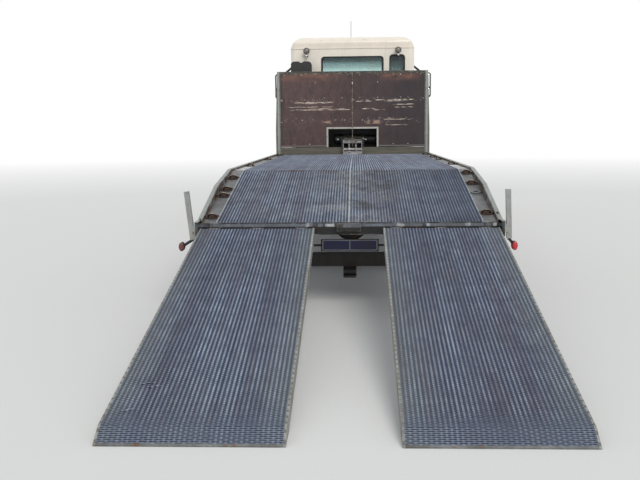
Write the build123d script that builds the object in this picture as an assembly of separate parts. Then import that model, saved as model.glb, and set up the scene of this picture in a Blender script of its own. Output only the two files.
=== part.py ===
from build123d import *
import os
from math import asin, atan, atan2, ceil, cos, degrees, hypot, radians, sin, sqrt, tan

# Car transporter truck, standing on its wheels with both loading ramps let down behind it.
# Millimetres. +Y is the way it drives, +X its right-hand side, +Z up, the ground is Z = 0.
# The origin lies on the ground under the middle of the whole outline.

# Deck and tail
BODY_WIDTH = 2500          # over the side rails
DECK_HEIGHT = 1090         # top of the level mesh above the ground
FLAT_LENGTH = 5350         # level part of the deck
TAIL_LENGTH = 1740         # sloping tail, measured level
TAIL_EDGE_HEIGHT = 752     # top of the mesh at its rear edge
MESH_THICKNESS = 10
MESH_COLUMNS = 12          # slots across each deck sheet
MESH_OPEN = 0.6            # width of a slot as a share of its column
MESH_LAND = 20             # plain strip between a slot and the bar the sheet rests on
FRONT_SILL = 120           # steel sill between the mesh and the headboard
SHEET = 6                  # folded steel of the sill, the bearers and the channels
BEARER_HEIGHT = 80
BEARER_WIDTH = 50
BEARER_PITCH = 480
RUNNER_WIDTH = 70

# Side channels with their outer rails
CHANNEL_WIDTH = 162        # from the mesh to the outside
CHANNEL_SUNK = 4           # channel floor below the mesh top
TRIM_WIDTH = 6             # upright edge beside the mesh
TRIM_PROUD = 3
RAIL_WIDTH = 40
RAIL_DEPTH = 110
RAIL_WALL = 5
RAIL_PROUD = 17            # rail top above the deck mesh
TAIL_RAIL_BREAK = 890      # where the rail bends on the tail, ahead of the mesh edge
TAIL_RAIL_RISE = 75        # how far the rail stands off the mesh there
RAIL_OVERHANG = 150        # rail end behind the mesh edge
RAIL_END_WIDTH = 28        # rail beside the ramp hinges, where its inner wall is cut away
RAIL_SLOT_LENGTH = 50
RAIL_SLOT_WIDTH = 18
RAIL_SLOT = {-1: 10, 1: 137}   # slot in the rail top ahead of the mesh edge, left and right

# Lashing pots: places ahead of the mesh edge, left and right
LASHING_POTS = {
    -1: [150, 800, 1020, 1450, 2820, 4830, 6500],
    1: [230, 1190, 1590, 2920, 4470, 5360, 6700],
}
POT_INSET = 62             # pot's middle outside the mesh edge
POT_RADIUS = 44
POT_WALL = 4
POT_DEPTH = 34
POT_FLANGE = 8             # width of the pressed ring round the pot
POT_FLANGE_PROUD = 3
LASHING_BAR_RADIUS = 7
LASHING_BAR_DROP = 10      # middle of the bar below the channel floor
RING_RADIUS = 34           # middle of the lashing rings' round bar
RING_BAR = 7
RING_LEAN = 28             # degrees from upright
POST_SOCKET_AHEAD = 880    # raised socket on the right-hand side
POST_SOCKET_RADIUS = 56
POST_SOCKET_BORE = 26
POST_SOCKET_PROUD = 10

# Rear beam, ramp hinges and corner posts
HINGE_HEIGHT = 680
EDGE_SETBACK = 50          # mesh edge ahead of the hinge line
BEAM_SETBACK = 46          # rear face of the beam ahead of the hinge line
BEAM_DEPTH = 90
BEAM_HEIGHT = 98
BEAM_WALL = 6
HINGES_PER_RAMP = 3
HINGE_INSET = 110          # outer hinge eyes from the ramp's edges
PIN_RADIUS = 15
PIN_CLEARANCE = 0.05
EYE_RADIUS = 28
EYE_WIDTH = 60
LUG_THICKNESS = 12
LUG_GAP = 5
LATCH_WIDTH = 195          # block on the beam between the ramps
LATCH_BOTTOM = 679
LATCH_TOP = 738
LATCH_DEPTH = 66
POST_SIZE = 40
POST_THICKNESS = 5
POST_OUT = 35              # corner posts outside the body side
POST_TOP = 1010
POST_FOOT = 607
POST_LEAN = {-1: -6, 1: -2}    # degrees, left post bent outwards, right post inwards
BRACKET_HEIGHT = 60

# Lamps at the rear
MARKER_OUT = {-1: 1388, 1: 1352}   # middle of each rubber-mounted marker lamp
MARKER_HEIGHT = 548
MARKER_WIDTH = 48
MARKER_TALL = 74
MARKER_DEPTH = 44
MARKER_ARM = 12            # radius of the rubber arm
MARKER_GRIP = 25           # how far the arm's head reaches up into the post
TAIL_LAMP_WIDTH = 340
TAIL_LAMP_HEIGHT = 120
TAIL_LAMP_DEPTH = 55
TAIL_LAMP_X = 760          # middle of each lamp
TAIL_LAMP_SETBACK = 8
TAIL_LAMP_CORNER = 20

# Ramps
RAMP_WIDTH = 935
RAMP_GAP = 558             # clear width between the two ramps
RAMP_HEEL = 2928           # hinge line to where the sole meets the ground, along the ramp
RAMP_BEND = 2985           # hinge line to the bevelled toe, along the ramp
RAMP_SOLE = 172            # length of the sole on the ground
RAMP_TIP = 8               # thickness of the tip
RAMP_TOP = 38              # running surface above the hinge line
RAMP_DEPTH = 88
RAMP_START = 36            # ramp end behind the hinge line
RAMP_BAR = 48              # width of the side beams
RAMP_WEB = 8               # thickness of the folded side beams
RAMP_INNER_BAR = 40
RAMP_CROSS_WIDTH = 40
RAMP_CROSS_DEPTH = 45
RAMP_CROSSES = 9
RAMP_MESH = 8
RAMP_RIM = 12              # edge of the side beams beside the mesh
RAMP_COLUMNS = 6           # slots across each ramp's sheet
TOE_PLATE = 45             # start of the solid toe ahead of the bend
FOOT_BAR = 10              # smooth edge behind the mesh at the foot

# Chassis
FRAME_WIDTH = 850
FRAME_TOP = 860
FRAME_HEIGHT = 220
FRAME_WEB = 8
FRAME_FLANGE = 70
FRAME_REAR = 950           # end of the rails ahead of the hinge line
FRAME_FRONT_SETBACK = 230  # end of the rails behind the nose
CROSS_PITCH = 1150
CROSS_HEIGHT = 150
CROSS_WIDTH = 60
CROSS_CLEARANCE = 120      # last crossmember behind the gearbox
BUMPER_ARM_INSET = 40      # bumper arms inside the rail's height

# Axles and wheels
WHEEL_RADIUS = 450
RIM_RADIUS = 248
FRONT_TYRE_WIDTH = 275
REAR_TYRE_WIDTH = 255
TWIN_SPACING = 305
FRONT_WHEEL_X = 935        # middle of the front tyre
REAR_WHEEL_X = 1060        # middle of the outer rear tyre
FRONT_AXLE_AHEAD = 480     # ahead of the cab's rear wall
REAR_AXLE_AHEAD = 860      # ahead of the bend in the deck
BEAD_SHARE = 0.82          # bead and tread width as shares of the tyre's width
TREAD_SHARE = 0.80
TYRE_BULGE = 4             # how far the side wall swells past the shoulder
SHOULDER_DEPTH = 46        # rounded part of the tread's edge
FIT = 0.3                  # gap between pieces that are fitted together

# Wheel rims and hubs
RIM_LIP_OUT = 14
RIM_LIP_RISE = 10
RIM_LIP_THICKNESS = 7
RIM_METAL = 9
RIM_WELL = 26              # depth of the drop centre
RIM_WELL_SHARE = 0.45      # floor of the drop centre as a share of the bead width
DISC_THICKNESS = 12
DISC_FLAT_RADIUS = 150     # flat middle of the wheel disc
HAND_HOLES = 8
HAND_HOLE_CIRCLE = 196
HAND_HOLE_RADIUS = 22
HUB_RADIUS = 87
STUD_CIRCLE = 118
STUD_COUNT = 8
STUD_RADIUS = 14
STUD_LENGTH = 26
FRONT_DISC_FACE = 30       # flat of the front wheel's disc outside the tyre's middle
FRONT_DISC_EDGE = 62
FRONT_HUB_END = 92
REAR_DISC_EDGE = 90        # where the rear discs meet their rims, from each tyre's middle
REAR_HUB_END = -15         # end of the rear hub, from the outer tyre's middle
HUB_CAP = 18
HUB_NECK = 72              # radius of the hub where its cap starts
HUB_CAP_RADIUS = 52
DRUM_RADIUS = 200
DRUM_WALL = 14
DRUM_WIDTH = 105
FRONT_HUB_START = -60      # inner end of the front hub, from the tyre's middle
FRONT_DRUM_START = -115    # open end of the drum from the tyre's middle
REAR_DRUM_START = -115     # the same, from the inner tyre's middle

# Axle beams, steering and springs
KINGPIN_X = 770
KINGPIN_RADIUS = 18
KNUCKLE_EYE = 42
EAR_CLEARANCE = 6
EAR_HEIGHT = 34
KNUCKLE_WEB = 26
SPINDLE_RADIUS = 32
SPINDLE_REACH = 55         # spindle end outside the tyre's middle
AXLE_DROP = 110
AXLE_BEAM = 90             # height and depth of the front beam
AXLE_FLANGE = 18
AXLE_POCKET = 30
AXLE_DROP_RUN = 200        # where the beam has come down, inside the kingpin
AXLE_HEAD = 60             # level end of the beam inside the kingpin
ARM_LENGTH = 190
ARM_WIDTH = 48
ARM_THICKNESS = 26
BALL_RADIUS = 10
ROD_RADIUS = 11
ROD_EYE_RADIUS = 24
ROD_EYE_HEIGHT = 28
ROD_DROP = 6               # track rod below the steering arm
CASING_RADIUS = 72
CASING_INSET = 20          # end of the casing inside the inner tyre
REAR_SPINDLE_RADIUS = 50
REAR_SPINDLE_END = -35     # from the outer tyre's middle
BANJO_RADIUS = 190
BANJO_DEPTH = 170
AXLE_NOSE = 200            # flange of the final drive ahead of the axle
NOSE_RADIUS = 70
CHAMBER_RADIUS = 66
CHAMBER_LENGTH = 125
CHAMBER_X = 520
CHAMBER_AHEAD = 105
CHAMBER_HEIGHT = 560
BACKPLATE_THICKNESS = 6
SPRING_X = 390
SPRING_WIDTH = 76
LEAF_THICKNESS = 13
FRONT_LEAVES = 3
REAR_LEAVES = 5
SHORT_LEAF = 0.36          # shortest leaf as a share of the longest
FRONT_SPRING_HALF = 720
FRONT_SPRING_BOW = 110
REAR_SPRING_HALF = 680
REAR_SPRING_BOW = 30
SPRING_EYE = 20
HANGER_WIDTH = 120         # hanger along the chassis rail
HANGER_FOOT = 16           # half its width at the eye
U_BOLT_RADIUS = 8
U_BOLT_GAP = 12            # middle of each bolt outside the axle
U_BOLT_PLAY = 2            # bolts outside the leaves
CLAMP_THICKNESS = 16

# Mudguards and side guards
FRONT_GUARD_RADIUS = 600
FRONT_GUARD_CENTRE = 380
FRONT_GUARD_END = 620      # height where the front guards end
REAR_GUARD_GAP = 45        # rear guards outside the tyre
REAR_GUARD_END = 510
GUARD_INNER = 560          # inner edge of the front guards
GUARD_OUT = 28             # guards outside the tyre's side
GUARD_SHEET = 9
STAY_ANGLE = 42            # mudguard stays, from upright
STAY_RADIUS = 13
STAY_INSET = 60
SIDE_RAIL_THICKNESS = 28
SIDE_RAIL_HEIGHT = 100
SIDE_RAIL_CORNER = 12
SIDE_RAIL_MIDDLES = [560, 800]
SIDE_RAIL_CLEARANCE = 620  # ends of the side guards from the axles
SIDE_POST = 40
SIDE_POST_INSET = 200
SIDE_POSTS = 5

# Engine and drive line
ENGINE_HALF = 330
ENGINE_BOTTOM = 450
ENGINE_TOP = 960
ENGINE_BEHIND = 300        # back of the block behind the front axle
ENGINE_LENGTH = 1120
ENGINE_MOUNT_WIDTH = 90
ENGINE_MOUNT_HEIGHT = 70
ENGINE_MOUNT_INSET = 150
GEARBOX_LENGTH = 600
GEARBOX_HALF = 190
GEARBOX_TAIL_HALF = 110
GEARBOX_BOTTOM = 500
GEARBOX_TOP = 830
GEARBOX_CORNER = 60
SHAFT_RADIUS = 45
SHAFT_HEIGHT = 620
SHAFT_FLANGE = 70
FLANGE_THICKNESS = 36

# What hangs on the chassis
SIDE_GEAR_BEHIND = 640     # front of the tank and the silencer behind the front axle
SILENCER_RADIUS = 180
SILENCER_LENGTH = 560
SILENCER_HEIGHT = 640
SILENCER_OUT = 250         # middle of the silencer outside the rail
SILENCER_CORNER = 30
TAIL_PIPE_RADIUS = 45
TAIL_PIPE_LENGTH = 240
HANG_WIDTH = 50
TANK_LENGTH = 1100
TANK_WIDTH = 620
TANK_OUT = 40              # tank outside the rail
TANK_BOTTOM = 370
TANK_TOP = 930
TANK_CORNER = 90
STRAP_THICKNESS = 4
STRAP_WIDTH = 60
STRAP_INSET = 200
CAP_RADIUS = 55
CAP_HEIGHT = 35
BATTERY_BEHIND = 1500      # front of the battery box behind the front axle
BATTERY_LENGTH = 620
BATTERY_WIDTH = 560
BATTERY_BOTTOM = 480
BATTERY_TOP = 900
BATTERY_LID = 70
AIR_TANK_RADIUS = 120
AIR_TANK_LENGTH = 700
AIR_TANK_HEIGHT = 690
AIR_TANK_OUT = 240
AIR_TANK_GAP = 80

# Tow frame and plate holder
TOW_DEPTH = 90
TOW_POST = 60
TOW_BEAM_BOTTOM = 250
TOW_BEAM_TOP = 370
TOW_WALL = 8
TOW_HEAD_DROP = 80         # hanger tops below the rail tops
JAW_HALF = 60
JAW_REACH = 130
JAW_UPPER = (205, 235)
JAW_LOWER = (165, 185)
JAW_BORE = 21
JAW_BORE_BEHIND = 80       # behind the cross beam
PLATE_WIDTH = 530
PLATE_HEIGHT = 112
PLATE_MIDDLE = 446
PLATE_THICKNESS = 6
PLATE_ARM = 120
PLATE_ARM_HEIGHT = 20

# Headboard
HEADBOARD_TOP = 2425
HEADBOARD_DEPTH = 60
HEADBOARD_FOOT = 90        # uprights below the deck top
HEADBOARD_LEAN = 30        # how far the sides draw in at the top
HEADBOARD_LEAN_FROM = 1500
UPRIGHT_WIDTH = 80
TOP_RAIL = 60
STUD_WIDTH = 50            # inner uprights
PANEL_THICKNESS = 18
PANEL_DROP = 20            # top of the plywood below the top rail
SHEET_JOINT = 3
KICK_TOP = 1205
WINCH_OPENING_WIDTH = 790
WINCH_OPENING_TOP = 1500
SURROUND = 28              # angle round the winch opening
SURROUND_SHEET = 4

# Winch, fairlead and wire
WINCH_AHEAD = 300          # drum ahead of the headboard
WINCH_HEIGHT = 1330
WINCH_HALF = 190
WINCH_PLATE = 25
WINCH_PLATE_REACH = 90
WINCH_PLATE_TOP = 80
WINCH_BASE = 20
WINCH_FOOT = 60
DRUM_CORE = 55
DRUM_FLANGE = 82
DRUM_FLANGE_THICKNESS = 10
MOTOR_RADIUS = 72
MOTOR_LENGTH = 200
GEAR_RADIUS = 85
GEAR_LENGTH = 115
COVER_DEPTH = 440          # sheet cover behind the headboard, over the winch
COVER_SHEET = 3
WIRE_RADIUS = 5
FAIRLEAD_HALF = 155
FAIRLEAD_BOTTOM = 1126
FAIRLEAD_TOP = 1322
FAIRLEAD_DEPTH = 80
FAIRLEAD_BEHIND = 20       # front of the roller box behind the headboard
FAIRLEAD_WALL = 10
ROLLER_RADIUS = 24
SIDE_ROLLER_RADIUS = 18
SIDE_ROLLER_X = 55
ROLLER_INSET = 40
HOOK_DROP = 60             # hook below the headboard's top
HOOK_WIDTH = 28
HOOK_HEIGHT = 44
HOOK_DEPTH = 26

# Cab
CAB_GAP = 600              # between the headboard and the cab
CAB_LENGTH = 1680
CAB_WIDTH = 2080
CAB_FLOOR = 1000
CAB_TOP = 3030
CAB_WALL = 42
ROOF_SEAM = 2833
ROOF_CORNER = 240
FRONT_CORNER = 170
REAR_CORNER = 90
ROOF_REAR_DROP = 60        # how far the roof falls at the back
ROOF_REAR_RUN = 120
ROOF_REAR_ROUND = 80       # radii of the roof's bends, back and front
ROOF_FRONT_DROP = 210
ROOF_FRONT_RUN = 260
ROOF_FRONT_ROUND = 400
BROW_ROUND = 200
SILL_ROUND = 120            # radii of the front's bends below the screen
GUTTER_OUT = 8
GUTTER_HEIGHT = 14
SCREEN_BOTTOM = 1850
SCREEN_TOP = 2760
SCREEN_LEAN = 230          # how far the screen leans back
SCREEN_INSET = 130         # screen inside the cab's sides
SCREEN_MARGIN = 30
SCREEN_CORNER = 90
NOSE_LEAN = 30
NOSE_HEIGHT = 350          # leaning part of the nose below the screen
NOSE_ROUND = 300
GLASS_DEPTH = 12           # glass behind the outer skin
GLASS_THICKNESS = 6
FRONT_PANEL_DEPTH = 120
FRONT_PANEL_DROP = 10      # top of the front panel below the screen's sill
GRILLE_HALF = 620
GRILLE_BOTTOM = 1080
GRILLE_TOP = 1480
GRILLE_RIM = 24
GRILLE_BARS = 6
GRILLE_BAR_DEPTH = 30
GRILLE_BAR_HEIGHT = 10
GRILLE_BAR_TILT = 25
REAR_WINDOW_CORNER = 50
# Rear windows: middle across the cab, width, bottom, top
REAR_WINDOWS = [(0, 1020, 2200, 2700), (752, 245, 2280, 2716)]

# Doors and mirrors
DOOR_REAR = 390            # rear edge of the doors ahead of the cab's rear wall
DOOR_FRONT_SETBACK = 285   # front edge behind the cab's front
DOOR_SILL = 20
DOOR_TOP = 2700
DOOR_CORNER = 45
DOOR_GAP = 7
DOOR_PILLAR_LEAN = 150
WINDOW_MARGIN = 90
WINDOW_SILL = 20
WINDOW_HEAD = 80
WINDOW_CORNER = 60
DOOR_HINGE_PROUD = 16      # hinge line outside the door skin
DOOR_HINGES = [1180, 1700]     # heights of the hinges' middles
DOOR_PIN_RADIUS = 6
DOOR_EYE_RADIUS = 12
DOOR_EYE_HEIGHT = 40
DOOR_EYE_ARM = 34
HANDLE_LENGTH = 150
HANDLE_HEIGHT = 60
HANDLE_POCKET = 16
HANDLE_BELOW = 170         # handle below the window's sill
HANDLE_AHEAD = 60
HANDLE_BAR = 22
MIRROR_OUT = 1425          # outer edge of the mirrors from the middle plane
MIRROR_WIDTH = 220
MIRROR_TOP = 2505
MIRROR_HEIGHT = 450
MIRROR_DEPTH = 90
MIRROR_CORNER = 45
MIRROR_BEHIND = 84         # mirrors behind the door hinges
MIRROR_ARM_RADIUS = 12
MIRROR_UPPER_RADIUS = 20   # covered upper arm
MIRROR_UPPER_Z = 2660      # where the upper arm leaves the door
MIRROR_UPPER_BACK = 120    # and how far behind the mirror
MIRROR_FOOT = 35

# Bumper, headlamps and cab mounts
BUMPER_PROUD = 70
BUMPER_BOTTOM = 330
BUMPER_TOP = 985
BUMPER_DEPTH = 60
BUMPER_WRAP = 380
BUMPER_OUT = 15            # bumper outside the cab's sides
BUMPER_CORNER = 180
INTAKE_HALF = 430
INTAKE_BOTTOM = 420
INTAKE_TOP = 600
HEADLAMP_X = 730
HEADLAMP_HEIGHT = 790
HEADLAMP_WIDTH = 330
HEADLAMP_TALL = 190
HEADLAMP_DEPTH = 130
HEADLAMP_SUNK = 4
CAB_MOUNT_INSET = 130
CAB_MOUNT_LENGTH = 110
STEP_REACH = 260
STEP_PROUD = 10
STEP_HEIGHTS = [400, 680]
STEP_THICKNESS = 30
STEP_PLATE = 20
STEP_BOTTOM = 380
STEP_AHEAD = 590           # steps ahead of the front axle

# Inside the cab
SEAT_WIDTH = 480
SEAT_X = 560
SEAT_HEIGHT = 1480         # top of the cushion
SEAT_AHEAD = 232           # seats ahead of the cab's rear wall
SEAT_LENGTH = 560
CUSHION = 120
SEAT_BASE_INSET = 50
SEAT_BACK = 620
SEAT_BACK_THICKNESS = 120
SEAT_BACK_LEAN = 60
SEAT_BACK_FOOT = 10         # how far the back's foot stands out behind the cushion
SEAT_ROUND = 35
HEADREST_WIDTH = 260
HEADREST_HEIGHT = 190
HEADREST_DEPTH = 95
DASH_DEPTH = 380
DASH_TOP = 1790
DASH_INSET = 190           # dashboard inside the cab's sides
DASH_HEIGHT = 420
DASH_FRONT_GAP = 5
DASH_LEG = 60
HOOD_HALF = 210
HOOD_RISE = 45
COLUMN_RADIUS = 35
COLUMN_LENGTH = 260
COLUMN_TILT = 30
COLUMN_BEHIND = 90         # steering wheel behind the dashboard
STEERING_RADIUS = 215
STEERING_RIM = 15
SPOKE_WIDTH = 40
SPOKE_THICKNESS = 14
SPOKES = 3

# On the cab's rear wall and roof
INTAKE_OUTER_X = 1025
INTAKE_INNER_X = 680
INTAKE_DEPTH = 150
INTAKE_WALL_GAP = 12
INTAKE_HEAD_BOTTOM = 2450
INTAKE_HEAD_TOP = 2620
INTAKE_HEAD_CORNER = 60
INTAKE_NOTCH = 42
INTAKE_STACK_INSET = 60
INTAKE_STACK_BOTTOM = 1180
INTAKE_STACK_CORNER = 30
INTAKE_CLAMP = 60
INTAKE_CLAMP_HEIGHT = 1900
WORK_LAMP_RADIUS = 52
WORK_LAMP_BACK_RADIUS = 30
WORK_LAMP_DEPTH = 60
WORK_LAMP_X = 766
WORK_LAMP_DROP = 38        # middle of the lamps below the roof seam
WORK_LAMP_NECK = 9
WORK_LAMP_FOOT = 50
WORK_LAMP_FOOT_HEIGHT = 12
AERIAL_TOP = 3390
AERIAL_X = -25
AERIAL_AHEAD = 900
AERIAL_FOOT_RADIUS = 24
AERIAL_FOOT_HEIGHT = 30
AERIAL_RADIUS = 3.5

# Places along the truck that follow from the sizes above
below_hinge = RAMP_DEPTH - RAMP_TOP
ramp_slope = asin(HINGE_HEIGHT / hypot(RAMP_HEEL, below_hinge)) - atan(below_hinge / RAMP_HEEL)
ramp_reach = RAMP_HEEL * cos(ramp_slope) - below_hinge * sin(ramp_slope) + RAMP_SOLE
hinge_to_nose = EDGE_SETBACK + TAIL_LENGTH + FLAT_LENGTH + CAB_GAP + CAB_LENGTH + BUMPER_PROUD
overall_length = ramp_reach + hinge_to_nose
hinge_y = ramp_reach - overall_length / 2
edge_y = hinge_y + EDGE_SETBACK
bend_y = edge_y + TAIL_LENGTH
deck_front_y = bend_y + FLAT_LENGTH
cab_rear_y = deck_front_y + CAB_GAP
cab_front_y = cab_rear_y + CAB_LENGTH
nose_y = cab_front_y + BUMPER_PROUD
front_axle_y = cab_rear_y + FRONT_AXLE_AHEAD
rear_axle_y = bend_y + REAR_AXLE_AHEAD
frame_rear_y = hinge_y + FRAME_REAR
frame_front_y = nose_y - FRAME_FRONT_SETBACK
frame_bottom = FRAME_TOP - FRAME_HEIGHT
engine_y = front_axle_y - ENGINE_BEHIND
gearbox_y = engine_y - GEARBOX_LENGTH
beam_rear_y = hinge_y + BEAM_SETBACK
beam_front_y = beam_rear_y + BEAM_DEPTH

# Heights and widths that follow from them
tail_slope = atan((DECK_HEIGHT - TAIL_EDGE_HEIGHT) / TAIL_LENGTH)
body_half = BODY_WIDTH / 2
mesh_half = body_half - CHANNEL_WIDTH
frame_half = FRAME_WIDTH / 2
cab_half = CAB_WIDTH / 2
bearer_top = DECK_HEIGHT - MESH_THICKNESS
bearer_bottom = bearer_top - BEARER_HEIGHT
beam_top = TAIL_EDGE_HEIGHT - MESH_THICKNESS
beam_bottom = beam_top - BEAM_HEIGHT
meet_y = edge_y + (FRAME_TOP + MESH_THICKNESS + BEARER_HEIGHT - TAIL_EDGE_HEIGHT) / tan(tail_slope)
ramp_inner_x = RAMP_GAP / 2
ramp_middle = ramp_inner_x + RAMP_WIDTH / 2
hinge_step = (RAMP_WIDTH - 2 * HINGE_INSET) / (HINGES_PER_RAMP - 1)
hinge_places = [ramp_inner_x + HINGE_INSET + i * hinge_step for i in range(HINGES_PER_RAMP)]
rear_disc_plane = -TWIN_SPACING / 2

# Along a ramp: s runs down from the hinge line, n stands off its slope
tip_s = RAMP_HEEL + RAMP_SOLE * cos(ramp_slope)
tip_n = RAMP_SOLE * sin(ramp_slope) - below_hinge
crown_s = tip_s - RAMP_TIP * sin(ramp_slope)
crown_n = tip_n + RAMP_TIP * cos(ramp_slope)
bevel_fall = (RAMP_TOP - crown_n) / (crown_s - RAMP_BEND)


def block(x0, x1, y0, y1, z0, z1):
    """A block between two corners."""
    place = Pos((x0 + x1) / 2, (y0 + y1) / 2, (z0 + z1) / 2)
    return place * Box(x1 - x0, y1 - y0, z1 - z0)


def bar_x(x0, x1, y, z, radius):
    """A round bar that lies across the truck."""
    return Pos((x0 + x1) / 2, y, z) * Rot(0, 90, 0) * Cylinder(radius, x1 - x0)


def bar_y(y0, y1, x, z, radius):
    """A round bar that lies along the truck."""
    return Pos(x, (y0 + y1) / 2, z) * Rot(90, 0, 0) * Cylinder(radius, y1 - y0)


def bar_z(z0, z1, x, y, radius):
    """An upright round bar."""
    return Pos(x, y, (z0 + z1) / 2) * Cylinder(radius, z1 - z0)


def rod(start, end, radius):
    """A round bar between two points."""
    run = Vector(*end) - Vector(*start)
    return Plane(origin=start, z_dir=run) * Pos(0, 0, run.length / 2) * Cylinder(radius, run.length)


def side_plate(points, x0, x1):
    """A straight-edged outline in the side view, as wide as x0 to x1."""
    outline = make_face(Plane.YZ * Polyline(*points, close=True))
    return Pos(x0, 0, 0) * extrude(outline, x1 - x0, dir=(1, 0, 0))


def end_plate(points, y0, y1):
    """A straight-edged outline seen along the truck, as long as y0 to y1."""
    outline = make_face(Plane.XZ * Polyline(*points, close=True))
    return Pos(0, y0, 0) * extrude(outline, y1 - y0, dir=(0, 1, 0))


def strip(line, drop, rise, x0, x1):
    """A beam that follows a line of (y, z) points, from drop below it to rise above it."""
    top = [(y, z + rise) for y, z in line]
    bottom = [(y, z - drop) for y, z in reversed(line)]
    return side_plate(top + bottom, x0, x1)


def turned(points):
    """A ring turned about the X axis from (across, radius) points."""
    return revolve(make_face(Polyline(*points, close=True)), Axis.X)


def rounded_face(points):
    """A straight-edged outline with a rounding of its own at each corner: across, up, radius."""
    face = make_face(Polyline(*[(a, b) for a, b, radius in points], close=True))
    for a, b, radius in points:
        if radius:
            corner = face.vertices().sort_by_distance((a, b))[0]
            face = fillet([corner], radius)
    return face


def slotted(sheet, half, columns, rests, rest_width):
    """A sheet with a plain grid of slots between the bars it rests on, in place of its fine diamonds."""
    column = 2 * half / columns
    slots = []
    for start, end in zip(rests, rests[1:]):
        for i in range(columns):
            x = -half + (i + 0.5) * column
            slots.append(block(x - MESH_OPEN * column / 2, x + MESH_OPEN * column / 2,
                               start + rest_width + MESH_LAND, end - MESH_LAND, -HINGE_HEIGHT,
                               2 * DECK_HEIGHT))
    return sheet - slots


def both_sides(piece):
    """A piece and its mirror image on the other side of the truck."""
    return [piece, mirror(piece, about=Plane.YZ)]


def on_side(piece, side):
    """A piece drawn for the right-hand side, put on the side that is asked for."""
    return piece if side > 0 else mirror(piece, about=Plane.YZ)


def joined(pieces):
    """Pieces welded into one."""
    whole = pieces[0]
    for piece in pieces[1:]:
        whole = whole + piece
    return whole


def save(name, pieces):
    """Write one node, made of one piece or of several like pieces."""
    solids = []
    for piece in pieces if isinstance(pieces, list) else [pieces]:
        solids.extend(piece.solids())
    shape = solids[0] if len(solids) == 1 else Compound(solids)
    export_step(shape, f"parts/{name}.step")


def deck_z(y):
    """Top of the mesh at a place along the deck."""
    return min(DECK_HEIGHT, TAIL_EDGE_HEIGHT + (y - edge_y) * tan(tail_slope))


def tail_under(y):
    """Underside of the sloping tail runners at a place along the tail."""
    return deck_z(y) - MESH_THICKNESS - BEARER_HEIGHT


break_y = edge_y + TAIL_RAIL_BREAK
rail_end_y = edge_y - RAIL_OVERHANG
mesh_front_y = deck_front_y - FRONT_SILL
tail_line = [(edge_y, TAIL_EDGE_HEIGHT), (bend_y, DECK_HEIGHT)]
flat_line = [(bend_y, DECK_HEIGHT), (mesh_front_y - FIT, DECK_HEIGHT)]
deck_line = tail_line + [(deck_front_y, DECK_HEIGHT)]
rail_top = [
    (rail_end_y, TAIL_EDGE_HEIGHT + RAIL_PROUD),
    (edge_y, TAIL_EDGE_HEIGHT + RAIL_PROUD),
    (break_y, deck_z(break_y) + TAIL_RAIL_RISE),
    (bend_y, DECK_HEIGHT + RAIL_PROUD),
    (deck_front_y, DECK_HEIGHT + RAIL_PROUD),
]
rail_foot = [(rail_end_y, TAIL_EDGE_HEIGHT - RAIL_DEPTH)] + [(y, z - RAIL_DEPTH) for y, z in deck_line]


def spread(start, end, longest):
    """Evenly spaced places from start to end, no further apart than the longest step."""
    count = ceil((end - start) / longest)
    return [start + i * (end - start) / count for i in range(count + 1)]


deck_rests = spread(bend_y, mesh_front_y, BEARER_PITCH)
tail_rests = spread(beam_front_y, bend_y, BEARER_PITCH)


def chassis_frame():
    """Two pressed channel rails, the crossmembers between them, cab mounts and bumper arms."""
    rail = block(frame_half - FRAME_FLANGE, frame_half, frame_rear_y, frame_front_y, frame_bottom, FRAME_TOP)
    rail -= block(frame_half - FRAME_FLANGE, frame_half - FRAME_WEB, frame_rear_y, frame_front_y,
                  frame_bottom + FRAME_WEB, FRAME_TOP - FRAME_WEB)
    start = frame_rear_y - SHEET
    rail -= side_plate([(start, tail_under(start)), (meet_y, FRAME_TOP), (meet_y, DECK_HEIGHT),
                        (start, DECK_HEIGHT)],
                       0, FRAME_WIDTH)
    pieces = both_sides(rail)
    middle = (frame_bottom + FRAME_TOP) / 2
    inner = frame_half - FRAME_WEB
    length = gearbox_y - CROSS_CLEARANCE - frame_rear_y
    count = ceil(length / CROSS_PITCH)
    for i in range(count + 1):
        y = frame_rear_y + i * (length - CROSS_WIDTH) / count
        cross = block(-inner, inner, y, y + CROSS_WIDTH, middle - CROSS_HEIGHT / 2, middle + CROSS_HEIGHT / 2)
        cross -= block(-inner, inner, y + FRAME_WEB, y + CROSS_WIDTH,
                       middle - CROSS_HEIGHT / 2 + FRAME_WEB, middle + CROSS_HEIGHT / 2 - FRAME_WEB)
        pieces.append(cross)
    pieces.append(block(-inner, inner, frame_front_y - CROSS_WIDTH, frame_front_y,
                        frame_bottom + FRAME_WEB, FRAME_TOP - FRAME_WEB))
    for y in (cab_rear_y + CAB_MOUNT_INSET, cab_front_y - CAB_MOUNT_INSET - CAB_MOUNT_LENGTH):
        tower = block(frame_half - FRAME_FLANGE, frame_half, y, y + CAB_MOUNT_LENGTH, FRAME_TOP,
                      CAB_FLOOR - FIT)
        pieces += both_sides(tower)
    arm = block(frame_half - FRAME_FLANGE, frame_half, frame_front_y, nose_y - BUMPER_DEPTH - FIT,
                frame_bottom + BUMPER_ARM_INSET, FRAME_TOP - BUMPER_ARM_INSET)
    pieces += both_sides(arm)
    return joined(pieces)


def bearer(y):
    """A folded channel across the level deck, open to the front."""
    whole = block(-mesh_half, mesh_half, y, y + BEARER_WIDTH, bearer_bottom, bearer_top)
    return whole - block(-mesh_half, mesh_half, y + SHEET, y + BEARER_WIDTH, bearer_bottom + SHEET,
                         bearer_top - SHEET)


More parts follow.
